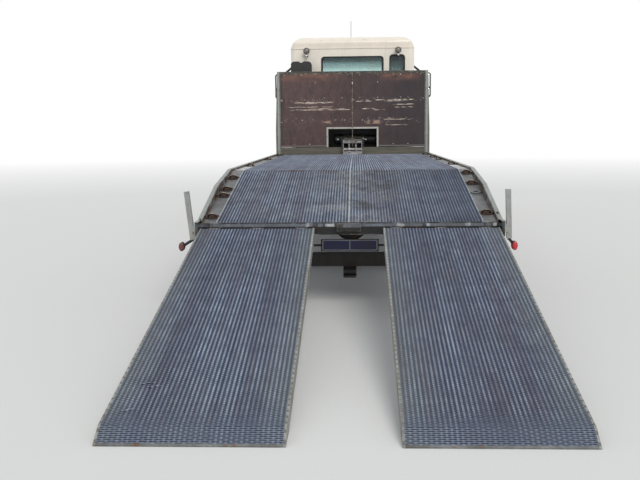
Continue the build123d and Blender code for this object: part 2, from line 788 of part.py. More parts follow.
def deck_frame():
    """Galvanised runners over the chassis rails with cross-bearers and the front sill."""
    x0 = frame_half - RUNNER_WIDTH
    runner = block(x0, frame_half, bend_y, mesh_front_y, FRAME_TOP, bearer_bottom)
    run_down = [(beam_front_y, deck_z(beam_front_y)), (bend_y, DECK_HEIGHT)]
    tail_runner = strip(run_down, MESH_THICKNESS + BEARER_HEIGHT, -MESH_THICKNESS, x0, frame_half)
    wedge = side_plate([(meet_y, FRAME_TOP), (bend_y, FRAME_TOP), (bend_y, bearer_bottom)], x0, frame_half)
    pieces = both_sides(runner) + both_sides(tail_runner) + both_sides(wedge)
    pieces += [bearer(y) for y in deck_rests[:-1]]
    sill = block(-mesh_half, mesh_half, mesh_front_y, deck_front_y, FRAME_TOP, DECK_HEIGHT)
    sill -= block(-mesh_half, mesh_half, mesh_front_y + SHEET, deck_front_y - SHEET, FRAME_TOP,
                  DECK_HEIGHT - SHEET)
    for low, high in ((-mesh_half, -frame_half), (frame_half, mesh_half)):
        sill -= block(low, high, mesh_front_y, deck_front_y, FRAME_TOP, bearer_bottom)
    pieces.append(sill)
    for y in tail_rests[1:-1]:
        line = [(y, deck_z(y)), (y + BEARER_WIDTH, deck_z(y + BEARER_WIDTH))]
        pieces.append(strip(line, MESH_THICKNESS + BEARER_HEIGHT, -MESH_THICKNESS, -mesh_half, mesh_half))
    return joined(pieces)


def deck_sheet(line, rests):
    """Expanded-metal sheet of the level deck or of the tail."""
    plate = strip(line, MESH_THICKNESS, 0, -mesh_half, mesh_half)
    return slotted(plate, mesh_half, MESH_COLUMNS, rests, BEARER_WIDTH)


def in_channel(ahead):
    """The middle of the channel's floor at a place ahead of the mesh edge."""
    y = edge_y + ahead
    lean = degrees(tail_slope) if y < bend_y else 0
    return Pos(mesh_half + POT_INSET, y, deck_z(y) - CHANNEL_SUNK) * Rot(lean, 0, 0)


def lashing_pot(ahead):
    """A pot's body, its hollow and the bar across it, at a place ahead of the mesh edge."""
    place = in_channel(ahead)
    depth = POT_DEPTH + POT_WALL
    cup = Pos(0, 0, -depth / 2) * Cylinder(POT_RADIUS + POT_WALL, depth)
    ring = Pos(0, 0, POT_FLANGE_PROUD / 2) * Cylinder(POT_RADIUS + POT_FLANGE, POT_FLANGE_PROUD)
    hollow_top = POT_FLANGE_PROUD + FIT
    hollow = Pos(0, 0, (hollow_top - POT_DEPTH) / 2) * Cylinder(POT_RADIUS, POT_DEPTH + hollow_top)
    bar = Pos(0, 0, -LASHING_BAR_DROP) * Rot(90, 0, 0) * Cylinder(LASHING_BAR_RADIUS,
                                                                  2 * POT_RADIUS + POT_WALL)
    return place * (cup + ring), place * hollow, place * bar


def lashing_rings():
    """The rings that hang on the pots' bars, left standing and leaning."""
    grip = (LASHING_BAR_RADIUS + RING_BAR + FIT) / cos(radians(RING_LEAN))
    ring = Pos(0, 0, RING_RADIUS - grip) * Rot(90, 0, 0) * Torus(RING_RADIUS, RING_BAR)
    ring = Pos(0, 0, -LASHING_BAR_DROP) * Rot(RING_LEAN, 0, 0) * ring
    return [on_side(in_channel(ahead) * ring, side) for side in (-1, 1) for ahead in LASHING_POTS[side]]


def side_channel(side):
    """Folded channel of one side with its hollow outer rail, sunk lashing pots and slotted end."""
    inner = mesh_half + FIT
    rail_x = body_half - RAIL_WIDTH
    rail = side_plate(rail_top + rail_foot[::-1], rail_x, body_half)
    roof = [(y, z - RAIL_WALL) for y, z in rail_top]
    sole = [(y, z + RAIL_WALL) for y, z in rail_foot]
    hollow_top = [(rail_end_y - RAIL_WALL, roof[0][1])] + roof[1:-1] + [(deck_front_y + RAIL_WALL,
                                                                         roof[-1][1])]
    hollow_sole = [(rail_end_y - RAIL_WALL, sole[0][1])] + sole[1:-1] + [(deck_front_y + RAIL_WALL,
                                                                          sole[-1][1])]
    rail -= side_plate(hollow_top + hollow_sole[::-1], rail_x + RAIL_WALL, body_half - RAIL_WALL)
    floor = strip(deck_line, CHANNEL_SUNK + SHEET, -CHANNEL_SUNK, inner, rail_x)
    edge = strip(deck_line, RAIL_DEPTH, TRIM_PROUD, inner, inner + TRIM_WIDTH)
    channel = joined([rail, floor, edge])
    channel -= block(0, BODY_WIDTH, beam_rear_y - SHEET, beam_front_y + FIT, 0, beam_top)
    channel -= block(0, body_half - RAIL_END_WIDTH, rail_end_y - SHEET, edge_y, 0, DECK_HEIGHT)
    slot_y = edge_y + RAIL_SLOT[side]
    slot = extrude(SlotOverall(RAIL_SLOT_LENGTH, RAIL_SLOT_WIDTH, rotation=90), 2 * RAIL_DEPTH, both=True)
    slot &= Pos(0, 0, RAIL_DEPTH) * Box(RAIL_WIDTH, 2 * RAIL_SLOT_LENGTH, 2 * RAIL_DEPTH)
    channel -= Pos(body_half - RAIL_WIDTH / 2, slot_y, deck_z(slot_y) - RAIL_PROUD) * slot
    for ahead in LASHING_POTS[side]:
        body, hollow, bar = lashing_pot(ahead)
        channel = channel + body - hollow + bar
    if side > 0:
        place = in_channel(POST_SOCKET_AHEAD)
        depth = POT_DEPTH + POST_SOCKET_PROUD
        socket = Pos(0, 0, POST_SOCKET_PROUD - depth / 2) * Cylinder(POST_SOCKET_RADIUS, depth)
        bore = Cylinder(POST_SOCKET_BORE, 2 * depth)
        channel = channel + place * socket - place * bore
    return on_side(channel, side)


def post_lean(side):
    """Where the lean of a corner post takes a piece that is drawn upright."""
    pivot = Pos(side * (body_half + POST_OUT), beam_rear_y, (beam_top + beam_bottom) / 2)
    return pivot * Rot(0, POST_LEAN[side], 0) * pivot.inverse()


def rear_beam():
    """Cross tube at the end of the tail, its hinge lugs with their pins, and the corner posts."""
    beam = block(-body_half, body_half, beam_rear_y, beam_front_y, beam_bottom, beam_top)
    beam -= block(-body_half, body_half, beam_rear_y + BEAM_WALL, beam_front_y - BEAM_WALL,
                  beam_bottom + BEAM_WALL, beam_top - BEAM_WALL)
    pieces = [beam]
    for x in hinge_places:
        near = EYE_WIDTH / 2 + LUG_GAP
        far = near + LUG_THICKNESS
        for low, high in ((x - far, x - near), (x + near, x + far)):
            lug = bar_x(low, high, hinge_y, HINGE_HEIGHT, EYE_RADIUS)
            lug += block(low, high, hinge_y, beam_rear_y, HINGE_HEIGHT - EYE_RADIUS,
                         HINGE_HEIGHT + EYE_RADIUS)
            pieces += both_sides(lug)
        pin = bar_x(x - far, x + far, hinge_y, HINGE_HEIGHT, PIN_RADIUS)
        pieces += both_sides(pin)
    pieces.append(block(-LATCH_WIDTH / 2, LATCH_WIDTH / 2, beam_rear_y - LATCH_DEPTH, beam_rear_y,
                        LATCH_BOTTOM, LATCH_TOP))
    y1 = beam_rear_y + POST_SIZE
    z = (beam_top + beam_bottom) / 2
    for side in (-1, 1):
        x0 = body_half + POST_OUT
        bracket = block(body_half, x0 + POST_THICKNESS, beam_rear_y, y1, z - BRACKET_HEIGHT / 2,
                        z + BRACKET_HEIGHT / 2)
        wide = block(x0, x0 + POST_SIZE, beam_rear_y, beam_rear_y + POST_THICKNESS, POST_FOOT, POST_TOP)
        deep = block(x0, x0 + POST_THICKNESS, beam_rear_y, y1, POST_FOOT, POST_TOP)
        pieces += [on_side(bracket, side), post_lean(side) * on_side(wide + deep, side)]
    return joined(pieces)


def marker_lamp(side):
    """Marker lamp in its rubber body, on an arm clamped in the foot of the corner post."""
    x0 = body_half + POST_OUT + POST_THICKNESS + FIT
    y0 = beam_rear_y + POST_THICKNESS + FIT
    grip = block(x0, x0 + 2 * MARKER_ARM, y0, y0 + 2 * MARKER_ARM, POST_FOOT - MARKER_ARM,
                 POST_FOOT + MARKER_GRIP)
    clamp = post_lean(side) * on_side(grip, side)
    foot = (post_lean(side) * Pos(side * (x0 + MARKER_ARM), y0 + MARKER_ARM, POST_FOOT)).position
    x = side * MARKER_OUT[side]
    body = extrude(Ellipse(MARKER_WIDTH / 2, MARKER_TALL / 2), MARKER_DEPTH / 2, both=True)
    lamp = Pos(x, foot.Y, MARKER_HEIGHT) * Rot(90, 0, 0) * body
    arm = rod((x, foot.Y, MARKER_HEIGHT), (foot.X, foot.Y, foot.Z), MARKER_ARM)
    return joined([lamp, arm, clamp])


def tail_lamps():
    """Combination lamps on the underside of the rear beam."""
    y0 = beam_rear_y + TAIL_LAMP_SETBACK
    lamp = block(TAIL_LAMP_X - TAIL_LAMP_WIDTH / 2, TAIL_LAMP_X + TAIL_LAMP_WIDTH / 2, y0,
                 y0 + TAIL_LAMP_DEPTH,
                 beam_bottom - TAIL_LAMP_HEIGHT - FIT, beam_bottom - FIT)
    return both_sides(fillet(lamp.edges().filter_by(Axis.Y), TAIL_LAMP_CORNER))


def ramp_local(shape, x_mid):
    """Lay a shape drawn along the ramp at its slope: local -Y runs down the ramp from the hinge line."""
    return Pos(x_mid, hinge_y, HINGE_HEIGHT) * Rot(degrees(ramp_slope), 0, 0) * shape


def ramp_profile(x0, x1):
    """A lengthwise ramp beam with its sole flat on the ground and a bevelled toe."""
    points = [(-RAMP_START, RAMP_TOP), (-RAMP_BEND, RAMP_TOP), (-crown_s, crown_n), (-tip_s, tip_n),
              (-RAMP_HEEL, -below_hinge), (-RAMP_START, -below_hinge)]
    return side_plate(points, x0, x1)


def ramp_surface(start, gap):
    """The running surface's line from a start down to a gap behind the crown of the toe."""
    return [(start, RAMP_TOP), (-RAMP_BEND, RAMP_TOP), (gap - crown_s, crown_n + gap * bevel_fall)]


# The lower edges of the ramps' cross-bars, from the foot up
cross_step = (RAMP_BEND - TOE_PLATE - RAMP_START - RAMP_CROSS_WIDTH) / (RAMP_CROSSES - 1)
ramp_rests = [TOE_PLATE - RAMP_BEND + i * cross_step for i in range(RAMP_CROSSES)]


def ramp_frame():
    """Folded side beams, inner beams, cross-bars, toe and hinge eyes of one ramp, drawn about its middle."""
    half = RAMP_WIDTH / 2
    seat = RAMP_TOP - RAMP_MESH
    side_beam = ramp_profile(half - RAMP_BAR, half)
    side_beam -= block(half - RAMP_BAR, half - RAMP_WEB, -RAMP_HEEL + RAMP_DEPTH, -RAMP_START - RAMP_WEB,
                       RAMP_WEB - below_hinge, seat - RAMP_WEB)
    pieces = both_sides(side_beam)
    inner_x = half / 3
    pieces += both_sides(ramp_profile(inner_x - RAMP_INNER_BAR / 2, inner_x + RAMP_INNER_BAR / 2))
    for y in ramp_rests:
        pieces.append(block(-half + RAMP_WEB, half - RAMP_WEB, y, y + RAMP_CROSS_WIDTH,
                            seat - RAMP_CROSS_DEPTH, seat))
    toe = ramp_profile(-half, half)
    toe &= block(-half, half, -2 * RAMP_BEND, -RAMP_BEND + TOE_PLATE, -HINGE_HEIGHT, HINGE_HEIGHT)
    pieces.append(toe)
    for x in hinge_places:
        eye_x = x - ramp_middle
        eye = bar_x(eye_x - EYE_WIDTH / 2, eye_x + EYE_WIDTH / 2, 0, 0, EYE_RADIUS)
        eye += block(eye_x - EYE_WIDTH / 2, eye_x + EYE_WIDTH / 2, -RAMP_START, 0, -EYE_RADIUS, EYE_RADIUS)
        pieces.append(eye)
    sheet_half = half - RAMP_RIM
    frame = joined(pieces) - strip(ramp_surface(0, FOOT_BAR), RAMP_MESH, RAMP_MESH, -sheet_half, sheet_half)
    for x in hinge_places:
        frame -= bar_x(x - ramp_middle - EYE_WIDTH, x - ramp_middle + EYE_WIDTH, 0, 0,
                       PIN_RADIUS + PIN_CLEARANCE)
    return frame


def ramp_mesh():
    """Expanded-metal sheet let in between the rims of one ramp, bent down over the toe."""
    half = RAMP_WIDTH / 2 - RAMP_RIM - FIT
    sheet = strip(ramp_surface(-RAMP_START, FOOT_BAR + FIT), RAMP_MESH, 0, -half, half)
    return slotted(sheet, half, RAMP_COLUMNS, ramp_rests, RAMP_CROSS_WIDTH)


def headboard_frame():
    """Galvanised uprights, rails and the angle round the winch opening, which carry the plywood."""
    y0 = deck_front_y
    y1 = y0 + HEADBOARD_DEPTH
    back = y0 + PANEL_THICKNESS
    foot = DECK_HEIGHT - HEADBOARD_FOOT
    inner = body_half - UPRIGHT_WIDTH
    upright = end_plate([(inner, foot), (body_half, foot), (body_half, HEADBOARD_LEAN_FROM),
                         (body_half - HEADBOARD_LEAN, HEADBOARD_TOP), (inner, HEADBOARD_TOP)], y0, y1)
    pieces = both_sides(upright)
    pieces.append(block(-inner, inner, back, y1, HEADBOARD_TOP - TOP_RAIL, HEADBOARD_TOP))
    pieces.append(block(-inner, inner, back, y1, bearer_bottom, KICK_TOP - SURROUND))
    half = WINCH_OPENING_WIDTH / 2
    stud = block(half, half + STUD_WIDTH, back, y1, KICK_TOP - SURROUND, HEADBOARD_TOP - TOP_RAIL)
    pieces += both_sides(stud)
    pieces.append(block(-half, half, back, y1, WINCH_OPENING_TOP, WINCH_OPENING_TOP + STUD_WIDTH))
    face = y0 - SURROUND_SHEET
    surround = block(-half - SURROUND, half + SURROUND, face, y0, KICK_TOP, WINCH_OPENING_TOP + SURROUND)
    surround += block(-half - SURROUND_SHEET, half + SURROUND_SHEET, face, back, KICK_TOP,
                      WINCH_OPENING_TOP + SURROUND_SHEET)
    surround -= block(-half, half, face, back, 0, WINCH_OPENING_TOP)
    pieces.append(surround)
    return joined(pieces)


def headboard_panel():
    """Two sheets of film-faced plywood and the kick board, with the winch opening cut out."""
    half = body_half - UPRIGHT_WIDTH - FIT
    y0 = deck_front_y
    y1 = y0 + PANEL_THICKNESS - FIT
    margin = WINCH_OPENING_WIDTH / 2 + SURROUND_SHEET + FIT
    opening = block(-margin, margin, y0, y1, 0, WINCH_OPENING_TOP + SURROUND_SHEET + FIT)
    sheet = block(SHEET_JOINT / 2, half, y0 + FIT, y1, KICK_TOP, HEADBOARD_TOP - PANEL_DROP) - opening
    kick = block(-half, half, y0 + FIT, y1, DECK_HEIGHT + FIT, KICK_TOP - SHEET_JOINT)
    return both_sides(sheet) + [kick]


def winch():
    """Electric winch on its cradle: two side plates, drum with flanges, motor and gear case."""
    y = deck_front_y + WINCH_AHEAD
    base_top = bearer_top + WINCH_BASE
    foot = WINCH_HALF + WINCH_FOOT
    pieces = [block(-foot, foot, deck_front_y + HEADBOARD_DEPTH + FIT, y + WINCH_PLATE_REACH + WINCH_FOOT,
                    bearer_top, base_top)]
    reach = WINCH_PLATE_REACH
    side_face = rounded_face([(y - reach, base_top, 0), (y + reach, base_top, 0),
                              (y + reach, WINCH_HEIGHT + WINCH_PLATE_TOP, reach / 2),
                              (y - reach, WINCH_HEIGHT + WINCH_PLATE_TOP, reach / 2)])
    plate = Pos(WINCH_HALF - WINCH_PLATE, 0, 0) * extrude(Plane.YZ * side_face, WINCH_PLATE, dir=(1, 0, 0))
    pieces += both_sides(plate)
    pieces.append(bar_x(-WINCH_HALF, WINCH_HALF, y, WINCH_HEIGHT, DRUM_CORE))
    inside = WINCH_HALF - WINCH_PLATE
    for x in (-inside, inside - DRUM_FLANGE_THICKNESS):
        pieces.append(bar_x(x, x + DRUM_FLANGE_THICKNESS, y, WINCH_HEIGHT, DRUM_FLANGE))
    motor = bar_x(WINCH_HALF, WINCH_HALF + MOTOR_LENGTH, y, WINCH_HEIGHT, MOTOR_RADIUS)
    gear = bar_x(-WINCH_HALF - GEAR_LENGTH, -WINCH_HALF, y, WINCH_HEIGHT, GEAR_RADIUS)
    pieces.append(fillet(motor.edges().group_by(Axis.X)[-1], MOTOR_RADIUS / 4))
    pieces.append(fillet(gear.edges().group_by(Axis.X)[0], GEAR_RADIUS / 4))
    return joined(pieces)


def winch_cover():
    """Sheet cover over the winch, open below, screwed to the back of the headboard."""
    half = WINCH_OPENING_WIDTH / 2 + STUD_WIDTH
    y0 = deck_front_y + HEADBOARD_DEPTH + FIT
    y1 = y0 + COVER_DEPTH
    top = WINCH_OPENING_TOP + STUD_WIDTH
    cover = block(-half, half, y0, y1, DECK_HEIGHT, top)
    return cover - block(-half + COVER_SHEET, half - COVER_SHEET, y0, y1 - COVER_SHEET, DECK_HEIGHT,
                         top - COVER_SHEET)


def fairlead():
    """Roller box that guides the wire, bolted to the sill in front of the opening."""
    y1 = deck_front_y - FAIRLEAD_BEHIND
    y0 = y1 - FAIRLEAD_DEPTH
    frame = block(-FAIRLEAD_HALF, FAIRLEAD_HALF, y0, y1, DECK_HEIGHT + FIT, FAIRLEAD_TOP)
    frame -= block(-FAIRLEAD_HALF + FAIRLEAD_WALL, FAIRLEAD_HALF - FAIRLEAD_WALL, y0, y1,
                   FAIRLEAD_BOTTOM + FAIRLEAD_WALL, FAIRLEAD_TOP - FAIRLEAD_WALL)
    pieces = [frame]
    middle = (y0 + y1) / 2
    for z in (FAIRLEAD_BOTTOM + ROLLER_INSET, FAIRLEAD_TOP - ROLLER_INSET):
        pieces.append(bar_x(-FAIRLEAD_HALF, FAIRLEAD_HALF, middle, z, ROLLER_RADIUS))
    for x in (-SIDE_ROLLER_X, SIDE_ROLLER_X):
        pieces.append(bar_z(FAIRLEAD_BOTTOM, FAIRLEAD_TOP, x, middle, SIDE_ROLLER_RADIUS))
    return joined(pieces)


def winch_wire():
    """Wire from the drum through the rollers, then up to the hook on the headboard."""
    y_out = deck_front_y - FAIRLEAD_BEHIND - FAIRLEAD_DEPTH - 3 * WIRE_RADIUS
    z = (FAIRLEAD_BOTTOM + FAIRLEAD_TOP) / 2
    y_in = deck_front_y + WINCH_AHEAD
    z_in = WINCH_HEIGHT - DRUM_CORE - WIRE_RADIUS - FIT
    top_z = HEADBOARD_TOP - HOOK_DROP
    top_y = deck_front_y - HOOK_DEPTH / 2
    run = rod((0, y_out, z), (0, y_in, z_in), WIRE_RADIUS)
    up = rod((0, y_out, z), (0, top_y, top_z), WIRE_RADIUS)
    hook = block(-HOOK_WIDTH / 2, HOOK_WIDTH / 2, deck_front_y - HOOK_DEPTH, deck_front_y - FIT / 2,
                 top_z - WIRE_RADIUS, top_z + HOOK_HEIGHT)
    hook = fillet(hook.edges().filter_by(Axis.Y), HOOK_WIDTH / 3)
    return joined([run, Pos(0, y_out, z) * Sphere(WIRE_RADIUS), up, hook])


def cab_form(inset):
    """The cab's outer form, or the same form a wall's thickness smaller all round."""
    top_y = cab_front_y - NOSE_LEAN - SCREEN_LEAN
    brow_z = CAB_TOP - ROOF_FRONT_DROP
    side_face = rounded_face([
        (cab_rear_y, CAB_FLOOR, 0),
        (cab_rear_y, CAB_TOP - ROOF_REAR_DROP, ROOF_REAR_ROUND),
        (cab_rear_y + ROOF_REAR_RUN, CAB_TOP, ROOF_REAR_ROUND),
        (top_y - ROOF_FRONT_RUN, CAB_TOP, ROOF_FRONT_ROUND),
        (top_y, brow_z, BROW_ROUND),
        (cab_front_y - NOSE_LEAN, SCREEN_BOTTOM, SILL_ROUND),
        (cab_front_y, SCREEN_BOTTOM - NOSE_HEIGHT, NOSE_ROUND),
        (cab_front_y, CAB_FLOOR, 0),
    ])
    side_face = offset(side_face, -inset, kind=Kind.INTERSECTION) if inset else side_face
    side_body = Pos(-CAB_WIDTH, 0, 0) * extrude(Plane.YZ * side_face, 2 * CAB_WIDTH, dir=(1, 0, 0))
    middle = (CAB_FLOOR + CAB_TOP) / 2
    tall = CAB_TOP - CAB_FLOOR
    end_face = Plane.XZ * Pos(0, middle) * Rectangle(CAB_WIDTH - 2 * inset, tall - 2 * inset)
    end_body = Pos(0, cab_rear_y - CAB_LENGTH, 0) * extrude(end_face, 3 * CAB_LENGTH, dir=(0, 1, 0))
    roof_edges = end_body.edges().filter_by(Axis.Y).group_by(Axis.Z)[-1]
    end_body = fillet(roof_edges, ROOF_CORNER - inset)
    plan = Pos(0, cab_rear_y + CAB_LENGTH / 2) * Rectangle(CAB_WIDTH - 2 * inset, CAB_LENGTH - 2 * inset)
    plan_body = extrude(plan, 2 * CAB_TOP, dir=(0, 0, 1))
    plan_body = fillet(plan_body.edges().filter_by(Axis.Z).group_by(Axis.Y)[-1], FRONT_CORNER - inset)
    plan_body = fillet(plan_body.edges().filter_by(Axis.Z).group_by(Axis.Y)[0], REAR_CORNER - inset)
    return side_body & end_body & plan_body


door_front = CAB_LENGTH - DOOR_FRONT_SETBACK
door_outline = [
    (DOOR_REAR, CAB_FLOOR + DOOR_SILL), (door_front, CAB_FLOOR + DOOR_SILL), (door_front, SCREEN_BOTTOM),
    (door_front - DOOR_PILLAR_LEAN, DOOR_TOP), (DOOR_REAR, DOOR_TOP),
]
window_outline = [
    (DOOR_REAR + WINDOW_MARGIN, SCREEN_BOTTOM + WINDOW_SILL),
    (door_front - WINDOW_MARGIN, SCREEN_BOTTOM + WINDOW_SILL),
    (door_front - DOOR_PILLAR_LEAN + DOOR_GAP - WINDOW_MARGIN, DOOR_TOP - WINDOW_HEAD),
    (DOOR_REAR + WINDOW_MARGIN, DOOR_TOP - WINDOW_HEAD),
]


def outline_prism(points, amount, corner):
    """A side-view outline, grown by an amount, as a block through the whole cab."""
    face = rounded_face([(cab_rear_y + ahead, z, corner) for ahead, z in points])
    face = Plane.YZ * (offset(face, amount) if amount else face)
    return Pos(-CAB_WIDTH, 0, 0) * extrude(face, 2 * CAB_WIDTH, dir=(1, 0, 0))


def screen_prism(amount):
    """Front-view outline of the windscreen, grown by an amount, from the middle of the cab forwards."""
    face = Pos(0, (SCREEN_BOTTOM + SCREEN_TOP) / 2) * RectangleRounded(
        CAB_WIDTH - 2 * SCREEN_INSET + 2 * amount,
        SCREEN_TOP - SCREEN_BOTTOM - 2 * SCREEN_MARGIN + 2 * amount, SCREEN_CORNER + amount)
    return Pos(0, cab_rear_y + CAB_LENGTH / 2, 0) * extrude(Plane.XZ * face, CAB_LENGTH, dir=(0, 1, 0))


def rear_window_prisms(amount):
    """Rear-view outlines of the rear windows, grown by an amount."""
    prisms = []
    for middle, width, bottom, top in REAR_WINDOWS:
        face = Pos(middle, (bottom + top) / 2) * RectangleRounded(
            width + 2 * amount, top - bottom + 2 * amount, REAR_WINDOW_CORNER + amount)
        prisms.append(Pos(0, cab_rear_y - CAB_GAP / 2, 0) * extrude(Plane.XZ * face, CAB_GAP, dir=(0, 1, 0)))
    return prisms


# The cab's main forms, cut into its panels below
cab_skin = cab_form(0) - cab_form(CAB_WALL)
glass_layer = cab_form(GLASS_DEPTH) - cab_form(GLASS_DEPTH + GLASS_THICKNESS)
door_inner_x = cab_half - CAB_WALL
door_cut = outline_prism(door_outline, 0, DOOR_CORNER)
door_cut -= block(-door_inner_x + DOOR_GAP, door_inner_x - DOOR_GAP, cab_rear_y, cab_front_y, 0, CAB_TOP)
door_pin_x = cab_half + DOOR_HINGE_PROUD
door_pin_y = cab_rear_y + door_front - DOOR_GAP / 2


def cab_zone(y0, z0, z1):
    """The part of space from y0 forwards between two heights, wider than the cab."""
    return block(-CAB_WIDTH, CAB_WIDTH, y0, nose_y + CAB_GAP, z0, z1)


def hinge_eyes(low, high, arm_from, arm_to):
    """One knuckle of a door hinge with the arm that welds it to its panel."""
    eye = bar_z(low, high, door_pin_x, door_pin_y, DOOR_EYE_RADIUS)
    return eye + block(cab_half - 2, door_pin_x, arm_from, arm_to, low, high)


def cab_shell():
    """Floor, rear wall, pillars and screen frame, pressed and welded into one shell."""
    shell = cab_skin - door_cut - screen_prism(0)
    for prism in rear_window_prisms(0):
        shell -= prism
    shell -= cab_zone(cab_rear_y - CAB_GAP, ROOF_SEAM - FIT, 2 * CAB_TOP)
    shell -= cab_zone(cab_front_y - FRONT_PANEL_DEPTH, 0, SCREEN_BOTTOM - FRONT_PANEL_DROP)
    half = DOOR_EYE_HEIGHT / 2
    for z in DOOR_HINGES:
        arm = (door_pin_y + DOOR_EYE_RADIUS / 3, door_pin_y + DOOR_EYE_RADIUS)
        lower = hinge_eyes(z - 3 * half, z - half - 1, *arm)
        upper = hinge_eyes(z + half + 1, z + 3 * half, *arm)
        pin = bar_z(z - 3 * half, z + 3 * half, door_pin_x, door_pin_y, DOOR_PIN_RADIUS)
        for piece in both_sides(lower + upper + pin):
            shell += piece
    return shell


def cab_roof():
    """Roof panel above the gutter seam, with the gutter's lip round its foot."""
    zone = cab_zone(cab_rear_y - CAB_GAP, ROOF_SEAM, 2 * CAB_TOP)
    lip = (cab_form(-GUTTER_OUT) - cab_form(CAB_WALL / 2)) & cab_zone(
        cab_rear_y - CAB_GAP, ROOF_SEAM, ROOF_SEAM + GUTTER_HEIGHT)
    return (cab_skin & zone) + lip


def cab_front():
    """Front panel below the windscreen, with the opening for the grille."""
    zone = cab_zone(cab_front_y - FRONT_PANEL_DEPTH + FIT, 0, SCREEN_BOTTOM - FRONT_PANEL_DROP - FIT)
    return (cab_skin & zone) - block(-GRILLE_HALF, GRILLE_HALF, cab_front_y - FRONT_PANEL_DEPTH, nose_y,
                                     GRILLE_BOTTOM, GRILLE_TOP)


def grille():
    """Moulded frame with tilted level bars, set into the front panel."""
    y1 = cab_front_y
    y0 = y1 - CAB_WALL
    half = GRILLE_HALF - FIT
    low = GRILLE_BOTTOM + FIT
    high = GRILLE_TOP - FIT
    frame = block(-half, half, y0, y1, low, high)
    frame -= block(-half + GRILLE_RIM, half - GRILLE_RIM, y0, y1, low + GRILLE_RIM, high - GRILLE_RIM)
    pieces = [frame]
    step = (high - low - 2 * GRILLE_RIM) / (GRILLE_BARS + 1)
    for i in range(GRILLE_BARS):
        z = low + GRILLE_RIM + (i + 1) * step
        slat = Rot(GRILLE_BAR_TILT, 0, 0) * Box(2 * half - GRILLE_RIM, GRILLE_BAR_DEPTH, GRILLE_BAR_HEIGHT)
        pieces.append(Pos(0, (y0 + y1) / 2, z) * slat)
    return joined(pieces)


def cab_glass():
    """Windscreen and the panes in the rear wall, each bonded behind the skin."""
    return [glass_layer & prism for prism in [screen_prism(-FIT)] + rear_window_prisms(-FIT)]


def door(side):
    """One door, as thick as the wall, with its window, its hinge eyes and a sunk handle."""
    panel = (cab_skin & outline_prism(door_outline, -DOOR_GAP, DOOR_CORNER))
    panel -= outline_prism(window_outline, 0, WINDOW_CORNER)
    panel &= block(door_inner_x, CAB_WIDTH, cab_rear_y, cab_front_y, 0, CAB_TOP)
    half = DOOR_EYE_HEIGHT / 2
    for z in DOOR_HINGES:
        panel = panel + hinge_eyes(z - half, z + half, door_pin_y - DOOR_EYE_ARM, door_pin_y)
        panel -= bar_z(z - 2 * half, z + 2 * half, door_pin_x, door_pin_y, DOOR_PIN_RADIUS + PIN_CLEARANCE)
    y0 = cab_rear_y + DOOR_REAR + HANDLE_AHEAD
    z1 = SCREEN_BOTTOM - HANDLE_BELOW + HANDLE_HEIGHT
    panel -= block(cab_half - HANDLE_POCKET, cab_half, y0, y0 + HANDLE_LENGTH, z1 - HANDLE_HEIGHT, z1)
    middle = z1 - HANDLE_HEIGHT / 2
    panel += block(cab_half - HANDLE_POCKET / 2, cab_half, y0, y0 + HANDLE_LENGTH,
                   middle - HANDLE_BAR / 2, middle + HANDLE_BAR / 2)
    return on_side(panel, side)


def door_glass(side):
    """The pane in one door."""
    pane = glass_layer & outline_prism(window_outline, -FIT, WINDOW_CORNER)
    return on_side(pane & block(0, CAB_WIDTH, cab_rear_y, cab_front_y, 0, CAB_TOP), side)


def door_mirror(side):
    """Mirror head on a level lower arm and a covered upper arm that slopes down from the door."""
    y = door_pin_y - MIRROR_BEHIND
    bottom = MIRROR_TOP - MIRROR_HEIGHT
    head = block(MIRROR_OUT - MIRROR_WIDTH, MIRROR_OUT, y - MIRROR_DEPTH / 2, y + MIRROR_DEPTH / 2,
                 bottom, MIRROR_TOP)
    head = fillet(head.edges().filter_by(Axis.Y), MIRROR_CORNER)
    head = fillet(head.edges().group_by(Axis.Y)[-1], MIRROR_CORNER / 2)
    skin = cab_half + FIT
    reach_x = MIRROR_OUT - MIRROR_WIDTH / 2
    low = bottom + MIRROR_CORNER
    upper_y = y - MIRROR_UPPER_BACK
    upper_x = skin + MIRROR_ARM_RADIUS / 2
    pieces = [head, bar_x(skin, reach_x, y, low, MIRROR_ARM_RADIUS),
              rod((upper_x, upper_y, MIRROR_UPPER_Z), (reach_x, y, MIRROR_TOP - MIRROR_CORNER),
                  MIRROR_UPPER_RADIUS)]
    for foot_y, z in ((y, low), (upper_y, MIRROR_UPPER_Z)):
        pieces.append(block(skin, skin + MIRROR_ARM_RADIUS, foot_y - MIRROR_FOOT, foot_y + MIRROR_FOOT,
                            z - MIRROR_FOOT, z + MIRROR_FOOT))
    whole = joined(pieces) & block(skin, 2 * CAB_WIDTH, cab_rear_y, cab_front_y, 0, 2 * CAB_TOP)
    return on_side(whole, side)


def bumper_block(depth, corner, drop):
    """The bumper's rounded block, drawn in by a depth at the front and both sides."""
    y0 = nose_y - BUMPER_WRAP
    middle = (BUMPER_BOTTOM + BUMPER_TOP) / 2
    whole = Pos(0, (y0 + nose_y) / 2 - depth, middle) * Box(2 * (cab_half + BUMPER_OUT - drop), BUMPER_WRAP,
                                                            BUMPER_TOP - BUMPER_BOTTOM)
    return fillet(whole.edges().filter_by(Axis.Z).group_by(Axis.Y)[-1], corner)


